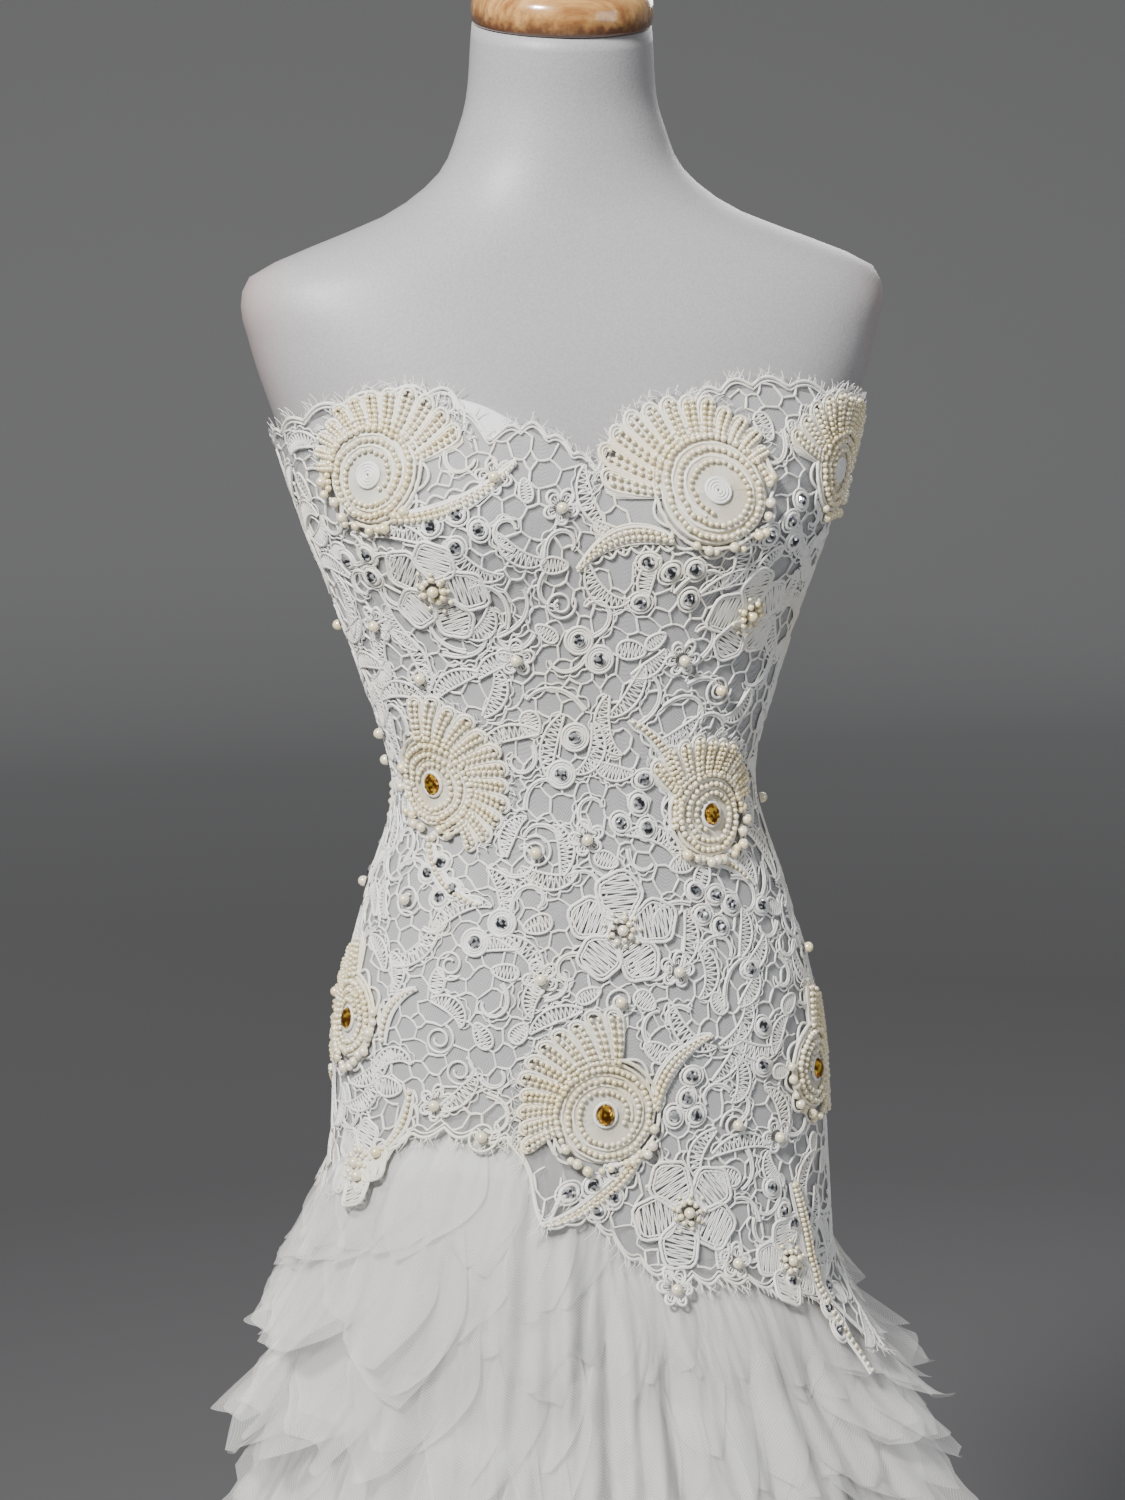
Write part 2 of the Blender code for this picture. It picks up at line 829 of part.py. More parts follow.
def motif_distance(motif, point):
    """Roughly how far a point of the pattern lies outside a motif."""
    if motif.kind == "crescent":
        return min((point - p).length for p in crescent_line(motif)) - CRESCENT_WIDTH
    offset = point - pattern_point(motif.angle, motif.height)
    return offset.length - reach(motif, math.atan2(offset.y, offset.x))


def motif_points(motif):
    """The points that give a motif its edge and its raised top."""
    if motif.kind == "crescent":
        line = crescent_line(motif)
        points = list(line)
        for i in range(1, CRESCENT_STEPS - 1):
            along = (line[i + 1] - line[i - 1]).normalized()
            across = Vector((-along.y, along.x)) * crescent_width(i / (CRESCENT_STEPS - 1))
            points += [line[i] + across, line[i] - across]
        return points
    middle = pattern_point(motif.angle, motif.height)
    turn = math.radians(motif.turn)
    points = [middle]
    if motif.kind == "fan":
        sweep = [turn + FAN_SWEEP * (i / FAN_LOBES - 0.5) for i in range(FAN_LOBES + 1)]
        tops = [turn + FAN_SWEEP * ((i + 0.5) / FAN_LOBES - 0.5) for i in range(FAN_LOBES)]
        back = [turn + math.pi - 0.5, turn + math.pi + 0.5]
    else:
        tops = [turn + 2 * math.pi * i / PETALS for i in range(PETALS)]
        sweep = [bearing + math.pi / PETALS for bearing in tops]
        back = []
    for bearing in sweep + tops + back:
        ray = Vector((math.cos(bearing), math.sin(bearing)))
        points.append(middle + ray * reach(motif, bearing))
    for bearing in tops + back:
        ray = Vector((math.cos(bearing), math.sin(bearing)))
        points.append(middle + ray * reach(motif, bearing) * PLATEAU)
    return points


def net_gaps(piece, outline, chance):
    """Gaps of the net between the motifs, as loops of the pattern, larger where there is more room."""
    low = min(p.y for p in outline)
    high = max(p.y for p in outline)
    left = piece.start * PATTERN_RADIUS
    width = (piece.end - piece.start) * PATTERN_RADIUS
    loops = []
    for row in range(int((high - low) / NET_ROW) + 1):
        for column in range(int(width / NET_PITCH) + 1):
            shift = NET_PITCH / 2 * (row % 2)
            jitter = Vector((chance.uniform(-1, 1), chance.uniform(-1, 1))) * NET_JITTER
            seed = Vector((left + column * NET_PITCH + shift, low + row * NET_ROW)) + jitter
            turn = chance.uniform(0, math.pi)
            if not inside(seed, outline) or distance_to_loop(seed, outline) < GAP_TO_EDGE:
                continue
            room = min(motif_distance(m, seed) for m in MOTIFS)
            if room < GAP_LEAST + GAP_TO_MOTIF:
                continue
            radius = GAP_LEAST + (GAP_MOST - GAP_LEAST) * min(room / GAP_ROOM, 1.0)
            bearings = [turn + 2 * math.pi * i / GAP_SIDES for i in range(GAP_SIDES)]
            loops.append([seed + Vector((math.cos(b), math.sin(b))) * radius for b in bearings])
    chance.shuffle(loops)
    return loops[: GAPS[piece.name]]


def fill_distance(a, b):
    """Distance in fill steps, which are closer across the body's sharp curve than up it."""
    return math.hypot((a.x - b.x) / FILL_ACROSS, (a.y - b.y) / FILL_UP)


def fill_points(outline, taken):
    """Points that keep the lace on the body's curve where nothing else does."""
    low = min(p.y for p in outline)
    high = max(p.y for p in outline)
    left = min(p.x for p in outline)
    right = max(p.x for p in outline)
    kept = []
    for row in range(int((high - low) / FILL_UP) + 1):
        for column in range(int((right - left) / FILL_ACROSS) + 1):
            shift = 0.5 * (row % 2)
            point = Vector((left + (column + shift) * FILL_ACROSS, low + (row + 0.5) * FILL_UP))
            if not inside(point, outline) or distance_to_loop(point, outline) < FILL_TO_EDGE:
                continue
            if min(fill_distance(point, other) for other in taken + kept) > FILL_SPACE:
                kept.append(point)
    return kept


def flat_triangles(points, loops, outline, gaps):
    """Triangles over the pattern that keep to its outline and leave its gaps open."""
    edges = []
    start = 0
    for loop in loops:
        size = len(loop)
        edges += [(start + i, start + (i + 1) % size) for i in range(size)]
        start += size
    result = delaunay_2d_cdt(points, edges, [], 0, 1e-7)
    if len(result[0]) != len(points):
        raise ValueError("the lace pattern's points or edges cross")
    kept = []
    for triangle in result[2]:
        middle = sum((result[0][i] for i in triangle), Vector((0.0, 0.0))) / 3
        source = [result[3][i][0] for i in triangle]
        if not inside(middle, outline) or any(inside(middle, gap) for gap in gaps):
            continue
        kept.append(tuple(source))
    return kept


def make_lace(piece, material, chance):
    """A lace panel: a plain inner face, an outer face with raised motifs, and gaps cut through both."""
    outline = lace_outline(piece)
    gaps = net_gaps(piece, outline, chance)
    rim = outline + [p for gap in gaps for p in gap]
    filled = rim + fill_points(outline, rim)
    raised = []
    for motif in MOTIFS:
        for point in motif_points(motif):
            if inside(point, outline) and distance_to_loop(point, outline) > 0.002:
                if min((point - other).length for other in filled + raised) > 0.003:
                    raised.append(point)
    inner_flat = filled
    outer_flat = filled + raised
    loops = [outline] + gaps
    points = []
    for flat in inner_flat:
        angle = flat.x / PATTERN_RADIUS
        points.append(cloth_point(angle, flat.y, lace_inner(angle, flat.y)))
    for flat in outer_flat:
        angle = flat.x / PATTERN_RADIUS
        relief = max(motif_height(m, flat) for m in MOTIFS)
        points.append(cloth_point(angle, flat.y, lace_inner(angle, flat.y) + LACE_WALL + relief))
    shift = len(inner_flat)
    faces = [tuple(reversed(t)) for t in flat_triangles(inner_flat, loops, outline, gaps)]
    faces += [tuple(shift + i for i in t) for t in flat_triangles(outer_flat, loops, outline, gaps)]
    start = 0
    for loop in loops:
        size = len(loop)
        for i in range(size):
            a, b = start + i, start + (i + 1) % size
            faces.append((a, b, shift + b, shift + a))
        start += size
    return make_object(f"lace_{piece.name}", points, faces, material)


# The centre back zip's slider and pull tab

ZIP_TOP = 1.216
SLIDER_WIDTH = 0.0060
SLIDER_HEIGHT = 0.0100
SLIDER_DEPTH = 0.0022
EAR_WIDTH = 0.0010
EAR_REACH = 0.0034
PIN_RADIUS = 0.0005
TAB_WIDTH = 0.0030
TAB_THICKNESS = 0.0010
TAB_LENGTH = 0.0220
EYE_RADIUS = 0.0009
EYE_RIM = 0.0007
PIN_SIDES = 8


def box_points(low, high):
    ends = list(zip(low, high))
    return [Vector((x, y, z)) for z in ends[2] for y in ends[1] for x in ends[0]]


def make_box(name, low, high, material):
    faces = [(0, 1, 3, 2), (4, 5, 7, 6), (0, 1, 5, 4), (2, 3, 7, 6), (0, 2, 6, 4), (1, 3, 7, 5)]
    return make_object(name, box_points(low, high), faces, material)


def unite(target, tool):
    """Joins a tool solid to a target solid."""
    join = target.modifiers.new("join", "BOOLEAN")
    join.operation = "UNION"
    join.object = tool
    tool.hide_render = True
    tool.display_type = "WIRE"


def zip_back():
    """How far behind the axis the zip's slider starts, just outside the lace at the centre back."""
    lows = [garment_radius(math.pi, ZIP_TOP + SLIDER_HEIGHT * t) for t in (-0.5, 0.0, 0.5)]
    return max(lows) + LACE_INNER + LACE_WALL + FIT_GAP


def make_zip(metal):
    """A slider with two ears and a pin, and a tab that hangs from the pin."""
    back = zip_back()
    half = SLIDER_WIDTH / 2
    tall = SLIDER_HEIGHT / 2
    slider = make_box(
        "zip_slider", (-half, back, ZIP_TOP - tall), (half, back + SLIDER_DEPTH, ZIP_TOP + tall), metal
    )
    face = back + SLIDER_DEPTH
    inside_ear = TAB_WIDTH / 2 + FIT_GAP
    for side in (-1, 1):
        edges = sorted((side * inside_ear, side * (inside_ear + EAR_WIDTH)))
        low = (edges[0], face - 0.001, ZIP_TOP - 0.002)
        high = (edges[1], face + EAR_REACH, ZIP_TOP + 0.002)
        unite(slider, make_box("cutter_ear", low, high, metal))
    pin_y = face + EAR_REACH - 0.0014
    reach_x = inside_ear + EAR_WIDTH / 2
    unite(slider, make_rod("cutter_pin", pin_y, PIN_RADIUS, reach_x, metal))
    make_tab(pin_y, metal)


def make_rod(name, y, radius, reach, material):
    """A round rod along X at the slider's pin height."""
    turns = [2 * math.pi * (i + 0.5) / PIN_SIDES for i in range(PIN_SIDES)]
    rings = []
    for x in (-reach, reach):
        rings.append([Vector((x, y + radius * math.sin(t), ZIP_TOP + radius * math.cos(t))) for t in turns])
    return make_object(name, *loft_rings(rings), material)


def make_tab(pin_y, metal):
    """A flat tab that widens into a round eye about the slider's pin."""
    half = TAB_THICKNESS / 2
    rim = EYE_RADIUS + EYE_RIM
    profile = [(rim, 0.0), (half, rim + 0.0003), (half, TAB_LENGTH - 0.0015), (0.0, TAB_LENGTH)]
    left = [(pin_y - out, ZIP_TOP - down) for out, down in profile]
    right = [(pin_y + out, ZIP_TOP - down) for out, down in reversed(profile[:-1])]
    top = [(pin_y + rim * math.sin(t), ZIP_TOP + rim * math.cos(t)) for t in (0.8, 0.0, -0.8)]
    loop = left + right + top
    rings = [[Vector((x, y, z)) for y, z in loop] for x in (-TAB_WIDTH / 2, TAB_WIDTH / 2)]
    tab = make_object("zip_pull", *loft_rings(rings), metal)
    hole = make_rod("cutter_eye", pin_y, EYE_RADIUS, TAB_WIDTH, metal)
    cut = tab.modifiers.new("eye", "BOOLEAN")
    cut.operation = "DIFFERENCE"
    cut.object = hole
    hole.hide_render = True
    hole.display_type = "WIRE"


# The whole thing

LACE_SEED = 11


def build():
    clear_scene()
    form_skin = make_material("form_skin", (0.80, 0.79, 0.79), 0.55)
    wood = make_material("honey_wood", (0.50, 0.27, 0.09), 0.20)
    metal = make_material("stand_metal", (0.62, 0.62, 0.64), 0.35, 1.0)
    zip_metal = make_material("zip_metal", (0.80, 0.80, 0.80), 0.30, 1.0)
    satin = make_material("white_satin", (0.84, 0.84, 0.85), 0.45)
    lace = make_material("ivory_lace", (0.86, 0.84, 0.77), 0.70)
    tulle = make_material("white_tulle", (0.90, 0.90, 0.90), 0.80)
    make_form_torso(form_skin)
    make_neck_cap(wood)
    make_stand(metal)
    chance = random.Random(LACE_SEED)
    for piece in BODICE_PANELS:
        make_lining(piece, satin)
        make_lace(piece, lace, chance)
    for piece in SKIRT_PANELS:
        make_underskirt(piece, satin)
        for number, tier in enumerate(TIERS, 1):
            make_tier(number, tier, piece, tulle)
    make_zip(zip_metal)


build()
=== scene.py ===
"""The looks of a strapless lace prom dress on its limbless dress form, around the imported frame.

Metres, +Z up, and the front faces -Y. As in the part's own source, a place on the cloth is an angle
round the body (0 is the centre front, +90 degrees the +X side, 180 the centre back) and a height.
"""

import math
import random
from typing import NamedTuple

import bpy
import numpy as np
from mathutils import Matrix, Vector
from mathutils.geometry import delaunay_2d_cdt


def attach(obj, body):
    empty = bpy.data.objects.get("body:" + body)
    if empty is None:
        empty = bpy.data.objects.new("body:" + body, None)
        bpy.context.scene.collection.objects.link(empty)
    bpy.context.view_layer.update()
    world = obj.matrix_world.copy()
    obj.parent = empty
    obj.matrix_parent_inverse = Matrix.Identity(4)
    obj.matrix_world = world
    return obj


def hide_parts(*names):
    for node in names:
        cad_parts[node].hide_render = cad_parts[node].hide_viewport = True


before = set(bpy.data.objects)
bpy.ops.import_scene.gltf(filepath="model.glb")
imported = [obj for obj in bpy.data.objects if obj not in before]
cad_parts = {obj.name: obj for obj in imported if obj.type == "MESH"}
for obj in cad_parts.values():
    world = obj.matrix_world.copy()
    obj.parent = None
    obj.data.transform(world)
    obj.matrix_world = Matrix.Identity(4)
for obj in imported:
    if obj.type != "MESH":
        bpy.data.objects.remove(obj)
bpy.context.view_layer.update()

MM = 0.001
BODY = "dress_on_form"

# The dimensions and section tables below repeat the part's source

FORM_BOTTOM = 0.745
FORM_TOP = 1.512
HIP_HEIGHT = 0.888
NECK_TILT = math.radians(14)
TILT_START = 1.440
CAP_RADIUS = 0.0535
CAP_THICKNESS = 0.026
CLOTH_CLEARANCE = 0.9 * MM
LINING_WALL = 1.3 * MM
UNDERSKIRT_WALL = 1.3 * MM
TULLE_CLEARANCE = 0.9 * MM
BASE_RADIUS = 0.160
BASE_THICKNESS = 0.014
POLE_RADIUS = 0.0125
SOCKET_DEPTH = 0.070
FIT_GAP = 0.3 * MM
ZIP_TOP = 1.216


class Section(NamedTuple):
    """One level cut through the form or the skirt. Depths and widths are in millimetres."""

    height: float
    half_width: float
    front: float
    back: float
    power: float
    lean: float = 0.0


FORM_SECTIONS = [
    Section(0.745, 144, 90, 112, 2.3),
    Section(0.800, 147, 93, 117, 2.3),
    Section(0.868, 149, 95, 120, 2.3),
    Section(0.930, 142, 93, 110, 2.3),
    Section(0.995, 124, 88, 92, 2.3),
    Section(1.062, 106, 84, 78, 2.3),
    Section(1.120, 121, 86, 80, 2.3),
    Section(1.175, 139, 92, 86, 2.3),
    Section(1.225, 157, 97, 91, 2.35),
    Section(1.280, 174, 92, 94, 2.5),
    Section(1.330, 189, 80, 90, 2.8),
    Section(1.354, 193, 71, 85, 3.0),
    Section(1.370, 186, 65, 79, 2.9),
    Section(1.386, 150, 61, 73, 2.6, 1),
    Section(1.402, 109, 58, 68, 2.3, 3),
    Section(1.422, 79, 55, 62, 2.1, 3),
    Section(1.455, 61, 51, 55, 2.0, 0),
    Section(1.512, 53, 50, 52, 2.0, -8),
]
SKIRT_SECTIONS = [
    Section(0.700, 158, 110, 134, 2.2),
    Section(0.600, 186, 146, 166, 2.1),
    Section(0.400, 230, 196, 214, 2.0),
    Section(0.220, 276, 246, 262, 2.0),
    Section(0.010, 342, 322, 338, 2.0),
]


class Cup(NamedTuple):
    """The soft swell of one bust cup."""

    angle: float
    height: float
    swell: float
    angle_spread: float
    height_spread: float


CUPS = [Cup(-41, 1.222, 17, 24, 0.048), Cup(41, 1.222, 17, 24, 0.048)]
NECKLINE = [
    (0, 1.252), (12, 1.268), (24, 1.281), (38, 1.295), (50, 1.299),
    (62, 1.294), (76, 1.280), (96, 1.263), (140, 1.246), (180, 1.240),
]
HIP_SEAM = [
    (-180, 0.832), (-125, 0.828), (-95, 0.828), (-78, 0.840), (-64, 0.862), (-52, 0.876), (-38, 0.875),
    (-24, 0.866), (-13, 0.846), (-3, 0.818), (8, 0.796), (20, 0.784), (36, 0.778), (50, 0.766),
    (64, 0.750), (76, 0.744), (96, 0.760), (125, 0.802), (150, 0.825), (180, 0.832),
]


class Tier(NamedTuple):
    """One flounce of tulle petals."""

    top: float
    hem: float
    follow: float
    stand_out: float
    wave: float
    petals: int


TIERS = [
    Tier(0.828, 0.766, 1.00, 0.026, 0.006, 10),
    Tier(0.800, 0.715, 0.85, 0.050, 0.009, 10),
    Tier(0.755, 0.665, 0.60, 0.050, 0.010, 10),
    Tier(0.700, 0.598, 0.40, 0.038, 0.012, 10),
    Tier(0.660, 0.400, 0.20, 0.042, 0.015, 12),
    Tier(0.460, 0.014, 0.00, 0.052, 0.018, 12),
]
SEAM_LEVEL = 0.828
HEM_SLANT = 0.9
STAND_POWER = 1.25
WAVE_POWER = 1.3

LACE_INNER = 3.9 * MM
LOBE_ANGLE = math.radians(8)
LOBE_RISE = 0.005
EDGE_OVERLAP = 0.008
EDGE_RISE = 0.002
TOP_DIPS = [(-33, 7, 0.018), (9, 6, -0.012)]
BOTTOM_DIPS = [(74, 5, 0.036), (-78, 7, 0.012), (-20, 5, 0.030)]
RIM_START = 0.018
RIM_LIFT = 2.2 * MM
CUP_EASE = 0.10
SIDE_EASE = 1.0 * MM
LACE_SINK = 1.2 * MM  # the scene's net lies this much closer to the lining than the solid's inner face


# Smooth curves and surfaces, for single values and for arrays


class Curve:
    """A smooth curve through a table's points, held level past both ends."""

    def __init__(self, points):
        self.x, self.y = np.array(points, float).T
        self.slope = np.gradient(self.y, self.x)

    def __call__(self, x):
        x = np.clip(x, self.x[0], self.x[-1])
        i = np.clip(np.searchsorted(self.x, x) - 1, 0, len(self.x) - 2)
        step = self.x[i + 1] - self.x[i]
        t = (x - self.x[i]) / step
        from_start = (2 * t**3 - 3 * t**2 + 1) * self.y[i] + (t**3 - 2 * t**2 + t) * step * self.slope[i]
        from_end = (3 * t**2 - 2 * t**3) * self.y[i + 1] + (t**3 - t**2) * step * self.slope[i + 1]
        return from_start + from_end


FORM_CURVES = {
    name: Curve([(s.height, getattr(s, name)) for s in FORM_SECTIONS]) for name in Section._fields[1:]
}
NECKLINE_CURVE = Curve(NECKLINE)
HIP_SEAM_CURVE = Curve(HIP_SEAM)


def smooth_step(t):
    t = np.clip(t, 0.0, 1.0)
    return t * t * (3 - 2 * t)


def squared_oval(angle, half_width, front, back, power):
    """How far an oval with squared corners reaches, each way round, with a front and a back depth."""
    depth = np.where(np.cos(angle) > 0, front, back)
    across = np.abs(np.sin(angle)) / half_width
    along = np.abs(np.cos(angle)) / depth
    return (across**power + along**power) ** (-1 / power)


def cup_swell(angle, height):
    swell = 0.0
    for cup in CUPS:
        turn = (wrapped_degrees(angle) - cup.angle) / cup.angle_spread
        rise = (height - cup.height) / cup.height_spread
        swell = swell + cup.swell * np.exp(-turn * turn - rise * rise)
    return swell


def form_radius(angle, height):
    row = {name: curve(height) for name, curve in FORM_CURVES.items()}
    oval = squared_oval(angle, row["half_width"], row["front"], row["back"], row["power"])
    return (oval + cup_swell(angle, height)) * MM


def garment_radius(angle, height):
    """The inner face of the dress."""
    angle, height = np.broadcast_arrays(angle, height)
    radius = form_radius(angle, np.maximum(height, HIP_HEIGHT)) + CLOTH_CLEARANCE
    top = HIP_HEIGHT
    upper = form_radius(angle, HIP_HEIGHT) + CLOTH_CLEARANCE
    for section in SKIRT_SECTIONS:
        lower = squared_oval(angle, section.half_width, section.front, section.back, section.power) * MM
        share = np.clip((top - height) / (top - section.height), 0, 1)
        radius = np.where(height < top, upper + (lower - upper) * share, radius)
        top, upper = section.height, lower
    return radius


def cloth_points(angle, height, out):
    """Points a given distance outside the dress's inner face."""
    angle, height, out = np.broadcast_arrays(angle, height, out)
    radius = garment_radius(angle, height) + out
    return np.stack([radius * np.sin(angle), -radius * np.cos(angle), height], -1)


def unit(vectors):
    return vectors / np.maximum(np.linalg.norm(vectors, axis=-1, keepdims=True), 1e-12)


def cloth_normals(angle, height):
    """Directions straight out of the cloth."""
    turn, rise = 0.006, 0.002
    across = cloth_points(angle + turn, height, 0.0) - cloth_points(angle - turn, height, 0.0)
    up = cloth_points(angle, height + rise, 0.0) - cloth_points(angle, height - rise, 0.0)
    return unit(np.cross(across, up))


def stride(angle, height, out=0.004):
    """Metres of cloth for each radian, going round level."""
    turn = 0.01
    step = cloth_points(angle + turn, height, out) - cloth_points(angle - turn, height, out)
    return np.linalg.norm(step, axis=-1) / (2 * turn)


def angle_across(middle, height, across):
    """The angle that lies a distance round the cloth from a middle line."""
    angle = middle + across / stride(middle, height)
    for _ in range(2):
        angle = middle + across / stride((middle + angle) / 2, height)
    return angle


def wrapped_degrees(angle):
    return (np.degrees(angle) + 180) % 360 - 180


def neckline_height(angle):
    return NECKLINE_CURVE(np.abs(wrapped_degrees(angle)))


def hip_seam_height(angle):
    return HIP_SEAM_CURVE(wrapped_degrees(angle))


def tier_start(tier, angle):
    """Where a flounce is sewn on. The flounces follow the hip seam less and less, going down."""
    if tier is TIERS[0]:
        return hip_seam_height(angle)
    return tier.top + (hip_seam_height(angle) - SEAM_LEVEL) * tier.follow


def tier_hem(tier, angle):
    return tier.hem + (hip_seam_height(angle) - SEAM_LEVEL) * tier.follow * HEM_SLANT


def tier_out(tier, drop):
    """How far out a flounce stands, a share of the way down it."""
    return UNDERSKIRT_WALL + TULLE_CLEARANCE + tier.stand_out * drop**STAND_POWER


def lobes(angle):
    """The small scallops of the lace's edges."""
    return LOBE_RISE * np.abs(np.sin(math.pi * angle / LOBE_ANGLE))


def dips(table, angle):
    """Larger soft dips of an edge, each at its own angle."""
    turn = wrapped_degrees(angle)
    return sum(depth * np.exp(-(((turn - middle) / spread) ** 2)) for middle, spread, depth in table)


def lace_top(angle):
    return neckline_height(angle) + EDGE_RISE + lobes(angle) - dips(TOP_DIPS, angle)


def lace_bottom(angle):
    return hip_seam_height(angle) - EDGE_OVERLAP - lobes(angle) - dips(BOTTOM_DIPS, angle)


def lace_out(angle, height):
    """How far out the lace's net lies. Below the hip seam it lies over the first flounce."""
    below = hip_seam_height(angle) - height
    rim = RIM_LIFT * smooth_step((below + RIM_START) / RIM_START)
    first = TIERS[0]
    drop = np.clip(below / (tier_start(first, angle) - tier_hem(first, angle)), 0.0, 1.0)
    ease = CUP_EASE * cup_swell(angle, height) * MM + SIDE_EASE * np.sin(angle) ** 10
    spread = first.stand_out * drop**STAND_POWER + first.wave * drop**WAVE_POWER
    return LACE_INNER - LACE_SINK + ease + rim + spread


# The camera, which stands where the photograph was taken

PHOTO_WIDTH = 1125
PHOTO_HEIGHT = 1500
FOCAL_PIXELS = 2879.0
SENSOR = 36.0
CAMERA_DISTANCE = 1.75
CAMERA_HEIGHT = 1.36
AIM_HEIGHT = 1.078
CAMERA_TURN = math.radians(-9.5)
CAMERA_ROLL = math.radians(1.1)
CAMERA_ASIDE = -0.0065
CLIP_START = 0.05
SEEN_REACH = (1.40, 1.95)  # from the camera to the nearest and the farthest place that it sees on the cloth
SEEN_STEPS = 551
SEEN_LIFT = 0.006


def camera_axes():
    """The camera's place, and its right, up and forward directions."""
    place = Vector((math.sin(CAMERA_TURN), -math.cos(CAMERA_TURN), 0)) * CAMERA_DISTANCE
    place.z = CAMERA_HEIGHT
    forward = (Vector((0, 0, AIM_HEIGHT)) - place).normalized()
    level = forward.cross(Vector((0, 0, 1))).normalized()
    upright = level.cross(forward)
    right = level * math.cos(CAMERA_ROLL) - upright * math.sin(CAMERA_ROLL)
    up = level * math.sin(CAMERA_ROLL) + upright * math.cos(CAMERA_ROLL)
    return place + level * CAMERA_ASIDE, right, up, forward


def add_camera():
    place, right, up, forward = camera_axes()
    data = bpy.data.cameras.new("camera")
    data.sensor_width = SENSOR
    data.lens = FOCAL_PIXELS / PHOTO_HEIGHT * SENSOR
    data.clip_start = CLIP_START
    camera = bpy.data.objects.new("camera", data)
    axes = Matrix((right, up, -forward)).transposed().to_4x4()
    camera.matrix_world = Matrix.Translation(place) @ axes
    bpy.context.scene.collection.objects.link(camera)
    bpy.context.scene.camera = camera


def places_seen(pixels):
    """Angles and heights of the cloth places that the camera sees at these photograph pixels."""
    place, right, up, forward = (np.array(v) for v in camera_axes())
    pixels = np.array(pixels, float)
    aside = (pixels[:, :1] - PHOTO_WIDTH / 2) / FOCAL_PIXELS
    above = (PHOTO_HEIGHT / 2 - pixels[:, 1:]) / FOCAL_PIXELS
    rays = unit(forward + aside * right + above * up)
    reach = np.linspace(*SEEN_REACH, SEEN_STEPS)
    line = place + rays[:, None, :] * reach[:, None]
    angle = np.arctan2(line[..., 0], -line[..., 1])
    room = np.hypot(line[..., 0], line[..., 1]) - garment_radius(angle, line[..., 2]) - SEEN_LIFT
    entered = room < 0
    first = np.where(entered.any(1), entered.argmax(1), room.argmin(1))
    rows = np.arange(len(pixels))
    return angle[rows, first], line[rows, first, 2]


# Meshes


class Heap:
    """Many small meshes gathered into one."""

    def __init__(self):
        self.points = []
        self.faces = []
        self.count = 0

    def add(self, points, faces):
        points = np.asarray(points, float).reshape(-1, 3)
        self.points.append(points)
        self.faces += (np.asarray(faces) + self.count).tolist()
        self.count += len(points)

    def make(self, name, material, smooth=True):
        return make_object(name, np.concatenate(self.points), self.faces, material, smooth)


def make_object(name, points, faces, material, smooth=True, body=BODY):
    mesh = bpy.data.meshes.new(name)
    mesh.from_pydata(np.asarray(points).tolist(), [], faces)
    mesh.materials.append(material)
    if smooth:
        mesh.shade_smooth()
    item = bpy.data.objects.new(name, mesh)
    bpy.context.scene.collection.objects.link(item)
    if body:
        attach(item, body)
    return item


def grid_faces(rows, columns, closed=False):
    """Quads of a grid, with its columns joined into a ring if it is closed."""
    index = np.arange(rows * columns).reshape(rows, columns)
    right = np.roll(index, -1, axis=1)
    if not closed:
        index, right = index[:, :-1], right[:, :-1]
    quads = np.stack([index[:-1], right[:-1], right[1:], index[1:]], -1)
    return quads.reshape(-1, 4)


def make_grid(name, points, material, flat_places=None, closed=False):
    """A sheet from a (rows, columns, 3) grid. Its flat places in metres carry the weave."""
    rows, columns = points.shape[:2]
    faces = grid_faces(rows, columns, closed).tolist()
    item = make_object(name, points.reshape(-1, 3), faces, material)
    if flat_places is not None:
        lay_weave(item, flat_places.reshape(-1, 2))
    return item


def lay_weave(item, flat_places):
    """Stores where each point lies on the flat cloth, in metres, for the weave in its material."""
    mesh = item.data
    corners = np.zeros(len(mesh.loops), int)
    mesh.loops.foreach_get("vertex_index", corners)
    layer = mesh.uv_layers.new(name="weave")
    layer.data.foreach_set("uv", flat_places[corners].astype(np.float32).ravel())


CORD_PROFILE = np.radians((-15, 55, 125, 195))


def add_cords(heap, paths, normals, radii, closed=False):
    """Half-round cords along paths shaped (cords, points, 3), each point with its own radius."""
    radii = np.broadcast_to(radii, paths.shape[:2])
    if closed:
        tangents = np.roll(paths, -1, axis=1) - np.roll(paths, 1, axis=1)
    else:
        tangents = np.gradient(paths, axis=1)
    across = unit(np.cross(tangents, normals))
    arc = across[..., None, :] * np.cos(CORD_PROFILE)[:, None]
    arc = arc + normals[..., None, :] * np.sin(CORD_PROFILE)[:, None]
    points = paths[..., None, :] + arc * radii[..., None, None]
    count, length = paths.shape[:2]
    index = np.arange(count * length * 4).reshape(count, length, 4)
    here, there = (index, np.roll(index, -1, axis=1)) if closed else (index[:, :-1], index[:, 1:])
    quads = np.stack([here[..., :-1], there[..., :-1], there[..., 1:], here[..., 1:]], -1)
    heap.add(points, quads.reshape(-1, 4))


def pearl_template(sides, rings):
    """Points and triangles of a round pearl, without the foot that the lace hides."""
    tilts = np.radians(np.linspace(0, 112, rings + 1))[1:]
    turns = 2 * math.pi * np.arange(sides) / sides
    points = [(0.0, 0.0, 1.0)]
    for tilt in tilts:
        ring = math.sin(tilt)
        points += [(ring * math.cos(turn), ring * math.sin(turn), math.cos(tilt)) for turn in turns]
    faces = [(0, 1 + i, 1 + (i + 1) % sides) for i in range(sides)]
    for a, b, c, d in grid_faces(rings, sides, True).tolist():
        faces += [(1 + a, 1 + d, 1 + c), (1 + a, 1 + c, 1 + b)]
    return np.array(points), np.array(faces)


